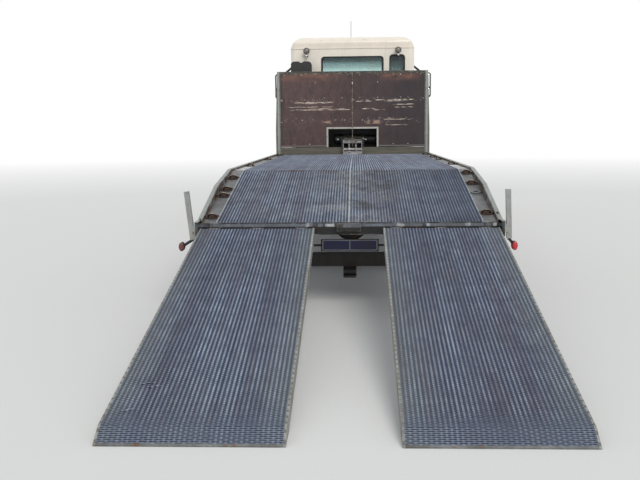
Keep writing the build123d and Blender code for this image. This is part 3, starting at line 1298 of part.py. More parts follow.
def bumper():
    """Wrap-round bumper with lamp pockets and a lower intake."""
    shell = bumper_block(0, BUMPER_CORNER, 0)
    shell -= bumper_block(BUMPER_DEPTH, BUMPER_CORNER - BUMPER_DEPTH + SHEET, BUMPER_DEPTH)
    shell -= block(-INTAKE_HALF, INTAKE_HALF, nose_y - BUMPER_WRAP, nose_y, INTAKE_BOTTOM, INTAKE_TOP)
    pocket = Pos(HEADLAMP_X, nose_y, HEADLAMP_HEIGHT) * Box(HEADLAMP_WIDTH, 2 * HEADLAMP_DEPTH, HEADLAMP_TALL)
    for piece in both_sides(pocket):
        shell -= piece
    return shell


def headlamps():
    """Headlamp units in the bumper pockets, shaped to the bumper's face."""
    unit = Pos(HEADLAMP_X, nose_y - HEADLAMP_DEPTH / 2, HEADLAMP_HEIGHT) * Box(
        HEADLAMP_WIDTH - 2 * FIT, HEADLAMP_DEPTH, HEADLAMP_TALL - 2 * FIT)
    return both_sides(bumper_block(HEADLAMP_SUNK, BUMPER_CORNER, 0) & unit)


def seats():
    """Driver's seat and passenger's seat: base, cushion, leaning back and headrest."""
    y0 = cab_rear_y + SEAT_AHEAD
    half = SEAT_WIDTH / 2
    low = SEAT_HEIGHT - CUSHION
    inset = SEAT_BASE_INSET
    base = block(SEAT_X - half + inset, SEAT_X + half - inset, y0 + inset, y0 + SEAT_LENGTH - inset,
                 CAB_FLOOR + CAB_WALL, low)
    cushion = block(SEAT_X - half, SEAT_X + half, y0, y0 + SEAT_LENGTH, low, SEAT_HEIGHT)
    cushion = fillet(cushion.edges(), SEAT_ROUND)
    foot = SEAT_HEIGHT - CUSHION / 2
    top = SEAT_HEIGHT + SEAT_BACK
    lean = SEAT_BACK_LEAN
    back = side_plate([(y0 - SEAT_BACK_FOOT, foot), (y0 + SEAT_BACK_THICKNESS, foot),
                       (y0 + SEAT_BACK_THICKNESS - lean, top),
                       (y0 - lean, top)], SEAT_X - half, SEAT_X + half)
    back = fillet(back.edges(), SEAT_ROUND)
    head_y = y0 - lean + SEAT_BACK_THICKNESS / 2
    head = block(SEAT_X - HEADREST_WIDTH / 2, SEAT_X + HEADREST_WIDTH / 2, head_y - HEADREST_DEPTH / 2,
                 head_y + HEADREST_DEPTH / 2, top - SEAT_ROUND / 2, top + HEADREST_HEIGHT)
    head = fillet(head.edges(), SEAT_ROUND)
    return both_sides(joined([base, cushion, back, head]))


def dashboard():
    """Dashboard with its instrument hood, the steering column and the wheel, left-hand drive."""
    half = cab_half - DASH_INSET
    y1 = cab_front_y - FRONT_PANEL_DEPTH - DASH_FRONT_GAP
    y0 = y1 - DASH_DEPTH
    foot = DASH_TOP - DASH_HEIGHT
    top = side_plate([(y0 + DASH_DEPTH / 3, foot), (y1, foot), (y1, DASH_TOP - HOOD_RISE),
                      (y0 + DASH_LEG, DASH_TOP), (y0, DASH_TOP - DASH_LEG), (y0, DASH_TOP - DASH_HEIGHT / 2)],
                     -half, half)
    leg = block(-half, half, y1 - DASH_LEG, y1, CAB_FLOOR + CAB_WALL, foot)
    hood = side_plate([(y0 + HOOD_RISE, DASH_TOP - HOOD_RISE), (y0 + DASH_DEPTH / 2, DASH_TOP - HOOD_RISE),
                       (y0 + DASH_DEPTH / 3, DASH_TOP + HOOD_RISE),
                       (y0 - HOOD_RISE / 2, DASH_TOP + HOOD_RISE)],
                      -SEAT_X - HOOD_HALF, -SEAT_X + HOOD_HALF)
    hub = Pos(-SEAT_X, y0 - COLUMN_BEHIND, DASH_TOP - DASH_LEG) * Rot(-COLUMN_TILT, 0, 0)
    column = hub * Pos(0, 0, -COLUMN_LENGTH / 2) * Cylinder(COLUMN_RADIUS, COLUMN_LENGTH)
    boss = hub * Cylinder(2 * COLUMN_RADIUS, 2 * SPOKE_THICKNESS)
    rim = hub * Torus(STEERING_RADIUS, STEERING_RIM)
    pieces = [top, leg, hood, column, boss, rim]
    for i in range(SPOKES):
        spoke = Pos(STEERING_RADIUS / 2, 0, 0) * Box(STEERING_RADIUS, SPOKE_WIDTH, SPOKE_THICKNESS)
        pieces.append(hub * Rot(0, 0, i * 360 / SPOKES - 90) * spoke)
    return joined(pieces)


def guard_stays(y_axle, z_centre, radius, reach):
    """Two tube stays from the chassis rail out to an arched guard."""
    stays = []
    for angle in (-STAY_ANGLE, STAY_ANGLE):
        y = y_axle + radius * sin(radians(angle))
        z = z_centre + radius * cos(radians(angle))
        stays.append(bar_x(frame_half + FIT, reach, y, z, STAY_RADIUS))
    return stays


def guard(y_axle, z_centre, radius, inner, out, end_z):
    """One arched mudguard with its stays."""
    outer = radius + GUARD_SHEET
    arch = bar_x(inner, out, y_axle, z_centre, outer) - bar_x(inner, out, y_axle, z_centre, radius)
    arch -= block(inner, out, y_axle - outer, y_axle + outer, z_centre - outer, end_z)
    middle = radius + GUARD_SHEET / 2
    return joined([arch] + guard_stays(y_axle, z_centre, middle, out - STAY_INSET))


def mudguards():
    """Arched guards over the front wheels, with room to steer, and over the twin rear wheels."""
    out = FRONT_WHEEL_X + FRONT_TYRE_WIDTH / 2 + GUARD_OUT
    front = guard(front_axle_y, FRONT_GUARD_CENTRE, FRONT_GUARD_RADIUS, GUARD_INNER, out, FRONT_GUARD_END)
    out = REAR_WHEEL_X + REAR_TYRE_WIDTH / 2 + GUARD_OUT
    inner = REAR_WHEEL_X - TWIN_SPACING - REAR_TYRE_WIDTH / 2 - GUARD_OUT / 2
    rear = guard(rear_axle_y, WHEEL_RADIUS, WHEEL_RADIUS + REAR_GUARD_GAP, inner, out, REAR_GUARD_END)
    return both_sides(front) + both_sides(rear)


def steps():
    """Entry steps below the doors, ahead of the front wheels."""
    out = cab_half + STEP_PROUD
    inner = out - STEP_REACH
    y0 = front_axle_y + STEP_AHEAD
    y1 = nose_y - BUMPER_WRAP - FIT
    pieces = [block(inner, out, y0, y1, z, z + STEP_THICKNESS) for z in STEP_HEIGHTS]
    pieces.append(block(inner, inner + STEP_PLATE, y0, y1, STEP_BOTTOM, CAB_FLOOR - FIT))
    pieces.append(block(inner, out, y0, y0 + STEP_PLATE, STEP_BOTTOM, CAB_FLOOR - FIT))
    return both_sides(joined(pieces))


def air_intake():
    """Snorkel behind the left of the cab with its twin-humped head."""
    y1 = cab_rear_y - INTAKE_WALL_GAP
    y0 = y1 - INTAKE_DEPTH
    inset = INTAKE_STACK_INSET
    stack = block(INTAKE_INNER_X + inset, INTAKE_OUTER_X - inset, y0 + inset / 4, y1 - inset / 4,
                  INTAKE_STACK_BOTTOM, INTAKE_HEAD_BOTTOM + inset)
    stack = fillet(stack.edges().filter_by(Axis.Z), INTAKE_STACK_CORNER)
    head = block(INTAKE_INNER_X, INTAKE_OUTER_X, y0, y1, INTAKE_HEAD_BOTTOM, INTAKE_HEAD_TOP)
    head = fillet(head.edges().filter_by(Axis.Y).group_by(Axis.Z)[-1], INTAKE_HEAD_CORNER)
    middle = (INTAKE_INNER_X + INTAKE_OUTER_X) / 2
    notch = bar_y(y0, y1, middle, INTAKE_HEAD_TOP + INTAKE_NOTCH / 2, INTAKE_NOTCH)
    clamp = block(INTAKE_INNER_X + inset, INTAKE_OUTER_X - inset, y1 - inset / 2, cab_rear_y - FIT,
                  INTAKE_CLAMP_HEIGHT, INTAKE_CLAMP_HEIGHT + INTAKE_CLAMP)
    return on_side(joined([stack, head - notch, clamp]), -1)


def work_lamps():
    """Two round work lamps on brackets high on the rear wall."""
    z = ROOF_SEAM - WORK_LAMP_DROP
    y = cab_rear_y - WORK_LAMP_DEPTH
    half = WORK_LAMP_DEPTH / 2
    bowl = Pos(WORK_LAMP_X, y, z) * Rot(-90, 0, 0)
    bezel = bowl * Pos(0, 0, -half / 2) * Cylinder(WORK_LAMP_RADIUS, half)
    back = bowl * Pos(0, 0, half / 2) * Cone(WORK_LAMP_RADIUS, WORK_LAMP_BACK_RADIUS, half)
    foot_top = z - WORK_LAMP_RADIUS - 2 * WORK_LAMP_FOOT_HEIGHT
    neck = bar_z(foot_top - WORK_LAMP_FOOT_HEIGHT, z - WORK_LAMP_RADIUS / 2, WORK_LAMP_X, y, WORK_LAMP_NECK)
    foot = block(WORK_LAMP_X - WORK_LAMP_FOOT / 2, WORK_LAMP_X + WORK_LAMP_FOOT / 2, y - WORK_LAMP_NECK,
                 cab_rear_y - FIT, foot_top - WORK_LAMP_FOOT_HEIGHT, foot_top)
    return both_sides(joined([bezel, back, neck, foot]))


def aerial():
    """Whip aerial on a rubber foot on the roof."""
    y = cab_rear_y + AERIAL_AHEAD
    low = CAB_TOP + FIT
    foot = Pos(AERIAL_X, y, low + AERIAL_FOOT_HEIGHT / 2) * Cone(
        AERIAL_FOOT_RADIUS, AERIAL_FOOT_RADIUS / 2, AERIAL_FOOT_HEIGHT)
    return foot + bar_z(low + AERIAL_FOOT_HEIGHT / 2, AERIAL_TOP, AERIAL_X, y, AERIAL_RADIUS)


def engine():
    """Engine, kept to one plain block, on its four mounts in the chassis rails."""
    pieces = [block(-ENGINE_HALF, ENGINE_HALF, engine_y, engine_y + ENGINE_LENGTH, ENGINE_BOTTOM, ENGINE_TOP)]
    reach = frame_half - FRAME_WEB - FIT
    low = frame_bottom + ENGINE_MOUNT_HEIGHT
    for y in (engine_y + ENGINE_MOUNT_INSET,
              engine_y + ENGINE_LENGTH - ENGINE_MOUNT_INSET - ENGINE_MOUNT_WIDTH):
        pieces.append(block(-reach, reach, y, y + ENGINE_MOUNT_WIDTH, low, low + ENGINE_MOUNT_HEIGHT))
    return joined(pieces)


def drive_line():
    """Tapered gearbox behind the engine and the propeller shaft back to the axle."""
    y1 = engine_y - FIT
    middle = (GEARBOX_BOTTOM + GEARBOX_TOP) / 2
    tall = GEARBOX_TOP - GEARBOX_BOTTOM
    front = Plane.XZ.offset(-y1) * Pos(0, middle) * RectangleRounded(2 * GEARBOX_HALF, tall, GEARBOX_CORNER)
    rear = Plane.XZ.offset(-gearbox_y) * Pos(0, SHAFT_HEIGHT) * RectangleRounded(
        2 * GEARBOX_TAIL_HALF, 2 * GEARBOX_TAIL_HALF, GEARBOX_CORNER)
    box = loft([front, rear])
    flange_y = rear_axle_y + AXLE_NOSE + FIT
    y_axle = flange_y + FLANGE_THICKNESS / 2
    rise = SHAFT_HEIGHT - WHEEL_RADIUS
    lean = degrees(atan2(rise, gearbox_y - y_axle))
    shaft = Pos(0, (gearbox_y + y_axle) / 2, (SHAFT_HEIGHT + WHEEL_RADIUS) / 2) * Rot(lean, 0, 0)
    shaft = shaft * Rot(90, 0, 0) * Cylinder(SHAFT_RADIUS, hypot(gearbox_y - y_axle, rise))
    axle_flange = bar_y(flange_y, flange_y + FLANGE_THICKNESS, 0, WHEEL_RADIUS, SHAFT_FLANGE)
    box_flange = bar_y(gearbox_y - FLANGE_THICKNESS, gearbox_y, 0, SHAFT_HEIGHT, SHAFT_FLANGE)
    return joined([box, shaft, axle_flange, box_flange])


def exhaust():
    """Silencer on the left of the chassis with its strap and tail pipe."""
    y1 = front_axle_y - SIDE_GEAR_BEHIND
    y0 = y1 - SILENCER_LENGTH
    x = frame_half + SILENCER_OUT
    body = bar_y(y0, y1, x, SILENCER_HEIGHT, SILENCER_RADIUS)
    body = fillet(body.edges().filter_by(GeomType.CIRCLE), SILENCER_CORNER)
    middle = (y0 + y1) / 2
    strap = block(frame_half + FIT, x, middle, middle + HANG_WIDTH, SILENCER_HEIGHT + HANG_WIDTH,
                  FRAME_TOP - HANG_WIDTH)
    band = bar_y(middle, middle + HANG_WIDTH, x, SILENCER_HEIGHT, SILENCER_RADIUS + STRAP_THICKNESS)
    pipe = bar_y(y0 - TAIL_PIPE_LENGTH, y0 + SILENCER_CORNER, x, SILENCER_HEIGHT - TAIL_PIPE_RADIUS,
                 TAIL_PIPE_RADIUS)
    pipe -= bar_y(y0 - TAIL_PIPE_LENGTH, y0 - SILENCER_CORNER, x, SILENCER_HEIGHT - TAIL_PIPE_RADIUS,
                  TAIL_PIPE_RADIUS - STRAP_THICKNESS)
    return on_side(joined([body, strap, band, pipe]), -1)


def fuel_tank():
    """Aluminium fuel tank with its filler cap, strapped to two brackets on the right of the chassis."""
    y1 = front_axle_y - SIDE_GEAR_BEHIND
    y0 = y1 - TANK_LENGTH
    x0 = frame_half + TANK_OUT
    x1 = x0 + TANK_WIDTH
    tank = fillet(block(x0, x1, y0, y1, TANK_BOTTOM, TANK_TOP).edges().filter_by(Axis.Y), TANK_CORNER)
    pieces = [tank]
    wall = STRAP_THICKNESS
    for y in (y0 + STRAP_INSET, y1 - STRAP_INSET - STRAP_WIDTH):
        band = block(x0 - wall, x1 + wall, y, y + STRAP_WIDTH, TANK_BOTTOM - wall, TANK_TOP + wall)
        pieces.append(fillet(band.edges().filter_by(Axis.Y), TANK_CORNER + wall))
        pieces.append(block(frame_half + FIT, x0 + wall, y, y + STRAP_WIDTH, TANK_BOTTOM + TANK_CORNER,
                            FRAME_TOP - HANG_WIDTH))
    pieces.append(bar_z(TANK_TOP - CAP_HEIGHT, TANK_TOP + CAP_HEIGHT, (x0 + x1) / 2, y1 - STRAP_INSET / 2,
                        CAP_RADIUS))
    return joined(pieces)


def battery_box():
    """Battery box with its lid, and the air reservoir behind it, on the left of the chassis."""
    y1 = front_axle_y - BATTERY_BEHIND
    y0 = y1 - BATTERY_LENGTH
    x0 = frame_half + TANK_OUT
    x1 = x0 + BATTERY_WIDTH
    box = block(x0, x1, y0, y1, BATTERY_BOTTOM, BATTERY_TOP - BATTERY_LID)
    box += block(x0 - STRAP_THICKNESS, x1 + STRAP_THICKNESS, y0 - STRAP_THICKNESS, y1 + STRAP_THICKNESS,
                 BATTERY_TOP - BATTERY_LID, BATTERY_TOP)
    arms = block(frame_half + FIT, x0 + SHEET, y0 + HANG_WIDTH, y1 - HANG_WIDTH, frame_bottom + HANG_WIDTH,
                 FRAME_TOP - HANG_WIDTH)
    tank_y = y0 - AIR_TANK_GAP
    x = frame_half + AIR_TANK_OUT
    tank = bar_y(tank_y - AIR_TANK_LENGTH, tank_y, x, AIR_TANK_HEIGHT, AIR_TANK_RADIUS)
    tank = fillet(tank.edges().filter_by(GeomType.CIRCLE), AIR_TANK_RADIUS / 2)
    middle = tank_y - AIR_TANK_LENGTH / 2
    hang = block(frame_half + FIT, x, middle, middle + HANG_WIDTH, AIR_TANK_HEIGHT,
                 AIR_TANK_HEIGHT + AIR_TANK_RADIUS / 2)
    return [on_side(box + arms, -1), on_side(tank + hang, -1)]


def front_axle():
    """Forged drop beam of I section with a kingpin through each end."""
    half = AXLE_BEAM / 2
    z = WHEEL_RADIUS
    low = z - AXLE_DROP
    inner = KINGPIN_X - AXLE_DROP_RUN
    head = KINGPIN_X - AXLE_HEAD
    y0 = front_axle_y - half
    y1 = front_axle_y + half
    beam = end_plate([(-KINGPIN_X, z - half), (-head, z - half), (-inner, low - half), (inner, low - half),
                      (head, z - half), (KINGPIN_X, z - half), (KINGPIN_X, z + half), (head, z + half),
                      (inner, low + half), (-inner, low + half), (-head, z + half),
                      (-KINGPIN_X, z + half)], y0, y1)
    pocket_half = SPRING_X - SPRING_WIDTH
    for low_y, high_y in ((y0, y0 + AXLE_POCKET), (y1 - AXLE_POCKET, y1)):
        beam -= block(-pocket_half, pocket_half, low_y, high_y, low - half + AXLE_FLANGE,
                      low + half - AXLE_FLANGE)
    pieces = [beam]
    reach = half + EAR_CLEARANCE + EAR_HEIGHT
    for side in (-1, 1):
        pieces.append(bar_z(z - half, z + half, side * KINGPIN_X, front_axle_y, KNUCKLE_EYE))
        pieces.append(bar_z(z - reach, z + reach, side * KINGPIN_X, front_axle_y, KINGPIN_RADIUS))
    return joined(pieces)


arm_bottom = WHEEL_RADIUS - AXLE_BEAM / 2 - EAR_CLEARANCE - EAR_HEIGHT
rod_top = arm_bottom - ROD_DROP
rod_y = front_axle_y - ARM_LENGTH


def knuckle(side):
    """Steering knuckle: two ears on the kingpin, the wheel spindle and the steering arm with its pin."""
    z = WHEEL_RADIUS
    low = AXLE_BEAM / 2 + EAR_CLEARANCE
    high = low + EAR_HEIGHT
    web_x = KINGPIN_X + KNUCKLE_EYE + KNUCKLE_WEB / 2
    y0 = front_axle_y - KNUCKLE_EYE
    y1 = front_axle_y + KNUCKLE_EYE
    pieces = []
    for z0, z1 in ((z - high, z - low), (z + low, z + high)):
        pieces.append(bar_z(z0, z1, KINGPIN_X, front_axle_y, KNUCKLE_EYE))
        pieces.append(block(KINGPIN_X, web_x + KNUCKLE_WEB, y0, y1, z0, z1))
    pieces.append(block(web_x, web_x + KNUCKLE_WEB, y0, y1, z - high, z + high))
    pieces.append(bar_x(web_x, FRONT_WHEEL_X + SPINDLE_REACH, front_axle_y, z, SPINDLE_RADIUS))
    arm_top = arm_bottom + ARM_THICKNESS
    pieces.append(block(KINGPIN_X - ARM_WIDTH / 2, KINGPIN_X + ARM_WIDTH / 2, rod_y, front_axle_y,
                        arm_bottom, arm_top))
    pieces.append(bar_z(arm_bottom, arm_top, KINGPIN_X, rod_y, ARM_WIDTH / 2 + ROD_DROP))
    body = joined(pieces) - bar_z(z - 2 * high, z + 2 * high, KINGPIN_X, front_axle_y,
                                  KINGPIN_RADIUS + PIN_CLEARANCE)
    pin = bar_z(rod_top - ROD_EYE_HEIGHT, arm_bottom + ARM_THICKNESS / 2, KINGPIN_X, rod_y, BALL_RADIUS)
    return on_side(body + pin, side)


def track_rod():
    """Rod that joins the two steering arms, with an eye round each arm's pin."""
    z0 = rod_top - ROD_EYE_HEIGHT
    rod = bar_x(-KINGPIN_X, KINGPIN_X, rod_y, (z0 + rod_top) / 2, ROD_RADIUS)
    for piece in both_sides(bar_z(z0, rod_top, KINGPIN_X, rod_y, ROD_EYE_RADIUS)):
        rod += piece
    for piece in both_sides(bar_z(z0 - ROD_DROP, rod_top + ROD_DROP, KINGPIN_X, rod_y,
                                  BALL_RADIUS + PIN_CLEARANCE)):
        rod -= piece
    return rod


def rear_axle():
    """Axle casing with its round final drive, a spindle and a brake backplate for each twin wheel."""
    z = WHEEL_RADIUS
    inner = REAR_WHEEL_X - TWIN_SPACING - REAR_TYRE_WIDTH / 2 - CASING_INSET
    casing = bar_x(-inner, inner, rear_axle_y, z, CASING_RADIUS)
    banjo = bar_y(rear_axle_y - BANJO_DEPTH / 2, rear_axle_y + BANJO_DEPTH / 2, 0, z, BANJO_RADIUS)
    banjo = fillet(banjo.edges().filter_by(GeomType.CIRCLE), BANJO_DEPTH / 3)
    nose_run = AXLE_NOSE - BANJO_DEPTH / 3
    nose = Pos(0, rear_axle_y + AXLE_NOSE - nose_run / 2, z) * Rot(-90, 0, 0) * Cone(
        2 * NOSE_RADIUS, NOSE_RADIUS, nose_run)
    spindle_end = REAR_WHEEL_X + REAR_SPINDLE_END
    spindle = bar_x(-spindle_end, spindle_end, rear_axle_y, z, REAR_SPINDLE_RADIUS)
    pieces = [casing, banjo, nose, spindle]
    backplate = bar_x(inner, inner + BACKPLATE_THICKNESS, rear_axle_y, z, DRUM_RADIUS)
    pieces += both_sides(backplate)
    y0 = rear_axle_y + CHAMBER_AHEAD
    chamber = bar_y(y0, y0 + CHAMBER_LENGTH, CHAMBER_X, CHAMBER_HEIGHT, CHAMBER_RADIUS)
    chamber = fillet(chamber.edges().filter_by(GeomType.CIRCLE), CHAMBER_RADIUS / 4)
    arm = block(CHAMBER_X - SHEET, CHAMBER_X + SHEET, rear_axle_y, y0 + SHEET, z, CHAMBER_HEIGHT)
    pieces += both_sides(chamber + arm)
    return joined(pieces)


def leaf(y, low, half_length, reach, bow):
    """One leaf, bent to the arc that rises by the bow over the half length, cut to its own reach."""
    radius = (half_length ** 2 + bow ** 2) / (2 * bow)
    rise = radius - sqrt(radius ** 2 - reach ** 2)
    high = low + LEAF_THICKNESS
    under = ThreePointArc((y - reach, low + rise), (y, low), (y + reach, low + rise))
    over = ThreePointArc((y + reach, high + rise), (y, high), (y - reach, high + rise))
    face = make_face([under, Line(under @ 1, over @ 0), over, Line(over @ 1, under @ 0)])
    x0 = SPRING_X - SPRING_WIDTH / 2
    return Pos(x0, 0, 0) * extrude(Plane.YZ * face, SPRING_WIDTH, dir=(1, 0, 0))


def spring(y, seat_z, half_length, bow, leaves, axle_half, axle_bottom):
    """A leaf pack on the axle with its eyes, hangers, U-bolts and clamp plates."""
    pieces = []
    for i in range(leaves):
        share = SHORT_LEAF + (1 - SHORT_LEAF) * i / (leaves - 1)
        pieces.append(leaf(y, seat_z + i * LEAF_THICKNESS, half_length, share * half_length, bow))
    top = seat_z + leaves * LEAF_THICKNESS
    eye_z = top + bow - LEAF_THICKNESS / 2
    x0 = SPRING_X - SPRING_WIDTH / 2
    x1 = SPRING_X + SPRING_WIDTH / 2
    for end in (y - half_length, y + half_length):
        pieces.append(bar_x(x0, x1, end, eye_z, SPRING_EYE))
        pieces.append(side_plate([(end - HANGER_FOOT, eye_z), (end + HANGER_FOOT, eye_z),
                                  (end + HANGER_WIDTH / 2, frame_bottom - FIT),
                                  (end - HANGER_WIDTH / 2, frame_bottom - FIT)], x0, x1))
    gap = axle_half + U_BOLT_GAP
    plate = gap + 2 * U_BOLT_RADIUS
    bolt_x = SPRING_WIDTH / 2 + U_BOLT_RADIUS + U_BOLT_PLAY
    plate_x = bolt_x + 2 * U_BOLT_RADIUS
    bottom = axle_bottom - FIT
    pieces.append(block(SPRING_X - plate_x, SPRING_X + plate_x, y - plate, y + plate,
                        top - LEAF_THICKNESS / 2, top + CLAMP_THICKNESS))
    pieces.append(block(SPRING_X - plate_x, SPRING_X + plate_x, y - plate, y + plate,
                        bottom - CLAMP_THICKNESS, bottom))
    for x in (SPRING_X - bolt_x, SPRING_X + bolt_x):
        for bolt_y in (y - gap, y + gap):
            pieces.append(bar_z(bottom - 2 * CLAMP_THICKNESS, top + 2 * CLAMP_THICKNESS, x, bolt_y,
                                U_BOLT_RADIUS))
    return joined(pieces)


def leaf_springs():
    """Springs of both axles, under the chassis rails."""
    beam_z = WHEEL_RADIUS - AXLE_DROP
    half = AXLE_BEAM / 2
    front = spring(front_axle_y, beam_z + half + FIT, FRONT_SPRING_HALF, FRONT_SPRING_BOW, FRONT_LEAVES,
                   half, beam_z - half)
    rear = spring(rear_axle_y, WHEEL_RADIUS + CASING_RADIUS + FIT, REAR_SPRING_HALF, REAR_SPRING_BOW,
                  REAR_LEAVES, CASING_RADIUS, WHEEL_RADIUS - CASING_RADIUS)
    return both_sides(front) + both_sides(rear)


def side_guards():
    """Two guard rails along each side between the wheels, on drop posts from the channels."""
    y0 = rear_axle_y + SIDE_RAIL_CLEARANCE
    y1 = front_axle_y - SIDE_RAIL_CLEARANCE
    inner = body_half - SIDE_RAIL_THICKNESS
    half = SIDE_RAIL_HEIGHT / 2
    pieces = []
    for z in SIDE_RAIL_MIDDLES:
        rail = block(inner, body_half, y0, y1, z - half, z + half)
        pieces.append(fillet(rail.edges().filter_by(Axis.Y).group_by(Axis.X)[-1], SIDE_RAIL_CORNER))
    pitch = (y1 - y0 - 2 * SIDE_POST_INSET - SIDE_POST) / (SIDE_POSTS - 1)
    for i in range(SIDE_POSTS):
        y = y0 + SIDE_POST_INSET + i * pitch
        pieces.append(block(inner - SIDE_POST, inner, y, y + SIDE_POST, SIDE_RAIL_MIDDLES[0] - half,
                            DECK_HEIGHT - RAIL_DEPTH - FIT))
    return both_sides(joined(pieces))


tow_front_y = frame_rear_y - FIT
tow_rear_y = tow_front_y - TOW_DEPTH


def tow_frame():
    """Hangers below the rail ends with a low cross tube and a coupling jaw."""
    y0 = tow_rear_y
    y1 = tow_front_y
    hanger = block(frame_half - TOW_POST, frame_half, y0, y1, TOW_BEAM_BOTTOM, FRAME_TOP - TOW_HEAD_DROP)
    pieces = both_sides(hanger)
    beam = block(-frame_half, frame_half, y0, y1, TOW_BEAM_BOTTOM, TOW_BEAM_TOP)
    beam -= block(-frame_half, frame_half, y0 + TOW_WALL, y1 - TOW_WALL, TOW_BEAM_BOTTOM + TOW_WALL,
                  TOW_BEAM_TOP - TOW_WALL)
    pieces.append(beam)
    for low, high in (JAW_UPPER, JAW_LOWER):
        plate = block(-JAW_HALF, JAW_HALF, y0 - JAW_REACH, y1, low, high)
        pieces.append(fillet(plate.edges().filter_by(Axis.Z).group_by(Axis.Y)[0], JAW_HALF / 2))
    pieces.append(block(-JAW_HALF, JAW_HALF, y1 - TOW_POST, y1, JAW_LOWER[0], TOW_BEAM_BOTTOM))
    return joined(pieces) - bar_z(0, TOW_BEAM_BOTTOM, 0, y0 - JAW_BORE_BEHIND, JAW_BORE)


def plate_holder():
    """Blank number-plate backing on its cross strap, behind the tow frame."""
    y1 = tow_rear_y - FIT
    y0 = y1 - PLATE_THICKNESS
    plate = block(-PLATE_WIDTH / 2, PLATE_WIDTH / 2, y0, y1, PLATE_MIDDLE - PLATE_HEIGHT / 2,
                  PLATE_MIDDLE + PLATE_HEIGHT / 2)
    half = PLATE_WIDTH / 2 + PLATE_ARM
    return plate + block(-half, half, y0, y1, PLATE_MIDDLE - PLATE_ARM_HEIGHT / 2,
                         PLATE_MIDDLE + PLATE_ARM_HEIGHT / 2)


def tyre(width):
    """One tyre, turned about the X axis, with a flat tread and rounded side walls."""
    half = width / 2
    crown = half * TREAD_SHARE
    bead = half * BEAD_SHARE
    shoulder = half - TYRE_BULGE
    wall_z = WHEEL_RADIUS - SHOULDER_DEPTH
    middle = (WHEEL_RADIUS + RIM_RADIUS) / 2 - TYRE_BULGE
    round_x = half - (half - crown) / 4
    round_z = WHEEL_RADIUS - SHOULDER_DEPTH / 3
    outline = [
        Line((-crown, WHEEL_RADIUS), (crown, WHEEL_RADIUS)),
        ThreePointArc((crown, WHEEL_RADIUS), (round_x, round_z), (shoulder, wall_z)),
        ThreePointArc((shoulder, wall_z), (half, middle), (bead, RIM_RADIUS)),
        Line((bead, RIM_RADIUS), (-bead, RIM_RADIUS)),
        ThreePointArc((-bead, RIM_RADIUS), (-half, middle), (-shoulder, wall_z)),
        ThreePointArc((-shoulder, wall_z), (-round_x, round_z), (-crown, WHEEL_RADIUS)),
    ]
    return revolve(make_face(outline), Axis.X)


def rim_barrel(width):
    """Drop-centre rim with a lip outside each bead, turned about the X axis."""
    bead = width / 2 * BEAD_SHARE
    seat = RIM_RADIUS - FIT
    lip = bead + RIM_LIP_OUT
    lip_foot = lip - RIM_LIP_THICKNESS
    well = RIM_WELL_SHARE * bead
    slope = RIM_WELL
    inside = seat - RIM_METAL
    right = [
        (well - slope, seat - RIM_WELL), (well, seat), (bead + 3, seat), (lip_foot, seat + RIM_LIP_RISE),
        (lip, seat + RIM_LIP_RISE), (lip, seat - 2), (bead, inside), (well + 3, inside),
        (well + 3 - slope, inside - RIM_WELL),
    ]
    left = [(-x, radius) for x, radius in reversed(right)]
    return turned(right + left)


def wheel_disc(face_x, edge_x, width):
    """Dished disc with hand holes, from its flat middle out to the rim."""
    inside = RIM_RADIUS - FIT - RIM_METAL + 2
    back = face_x - DISC_THICKNESS
    edge_back = edge_x - DISC_THICKNESS
    bent = DISC_FLAT_RADIUS + DISC_THICKNESS / 2
    disc = turned([(face_x, HUB_RADIUS / 2), (face_x, DISC_FLAT_RADIUS),
                   (edge_x, inside - DISC_THICKNESS / 3),
                   (edge_x, inside), (edge_back, inside), (edge_back, inside - DISC_THICKNESS), (back, bent),
                   (back, HUB_RADIUS / 2)])
    for i in range(HAND_HOLES):
        angle = radians(i * 360 / HAND_HOLES)
        disc -= bar_x(-width, width, HAND_HOLE_CIRCLE * cos(angle), HAND_HOLE_CIRCLE * sin(angle),
                      HAND_HOLE_RADIUS)
    return disc


def studs(face_x):
    """Ring of wheel nuts on the flat of a disc."""
    ring = []
    for i in range(STUD_COUNT):
        angle = radians((i + 0.5) * 360 / STUD_COUNT)
        ring.append(bar_x(face_x - STUD_RADIUS, face_x + STUD_LENGTH, STUD_CIRCLE * cos(angle),
                          STUD_CIRCLE * sin(angle), STUD_RADIUS))
    return ring


def brake_drum(start):
    """Open brake drum that turns with the hub, closed on its outer side."""
    end = start + DRUM_WIDTH
    drum = bar_x(start, end, 0, 0, DRUM_RADIUS)
    return drum - bar_x(start, end - DRUM_WALL, 0, 0, DRUM_RADIUS - DRUM_WALL)


def front_rim():
    """Front wheel rim, disc, drum and capped hub. Outboard is +X, the tyre's middle is X = 0."""
    face = FRONT_DISC_FACE
    hub = turned([(FRONT_HUB_START, 0), (FRONT_HUB_START, HUB_RADIUS), (face + STUD_LENGTH, HUB_RADIUS),
                  (FRONT_HUB_END - HUB_CAP, HUB_NECK), (FRONT_HUB_END, HUB_CAP_RADIUS), (FRONT_HUB_END, 0)])
    pieces = [rim_barrel(FRONT_TYRE_WIDTH), wheel_disc(face, FRONT_DISC_EDGE, FRONT_TYRE_WIDTH), hub,
              brake_drum(FRONT_DRUM_START)] + studs(face)
    spindle_end = SPINDLE_REACH + HUB_CAP / 2
    return joined(pieces) - bar_x(2 * FRONT_DRUM_START, spindle_end, 0, 0, SPINDLE_RADIUS + PIN_CLEARANCE)


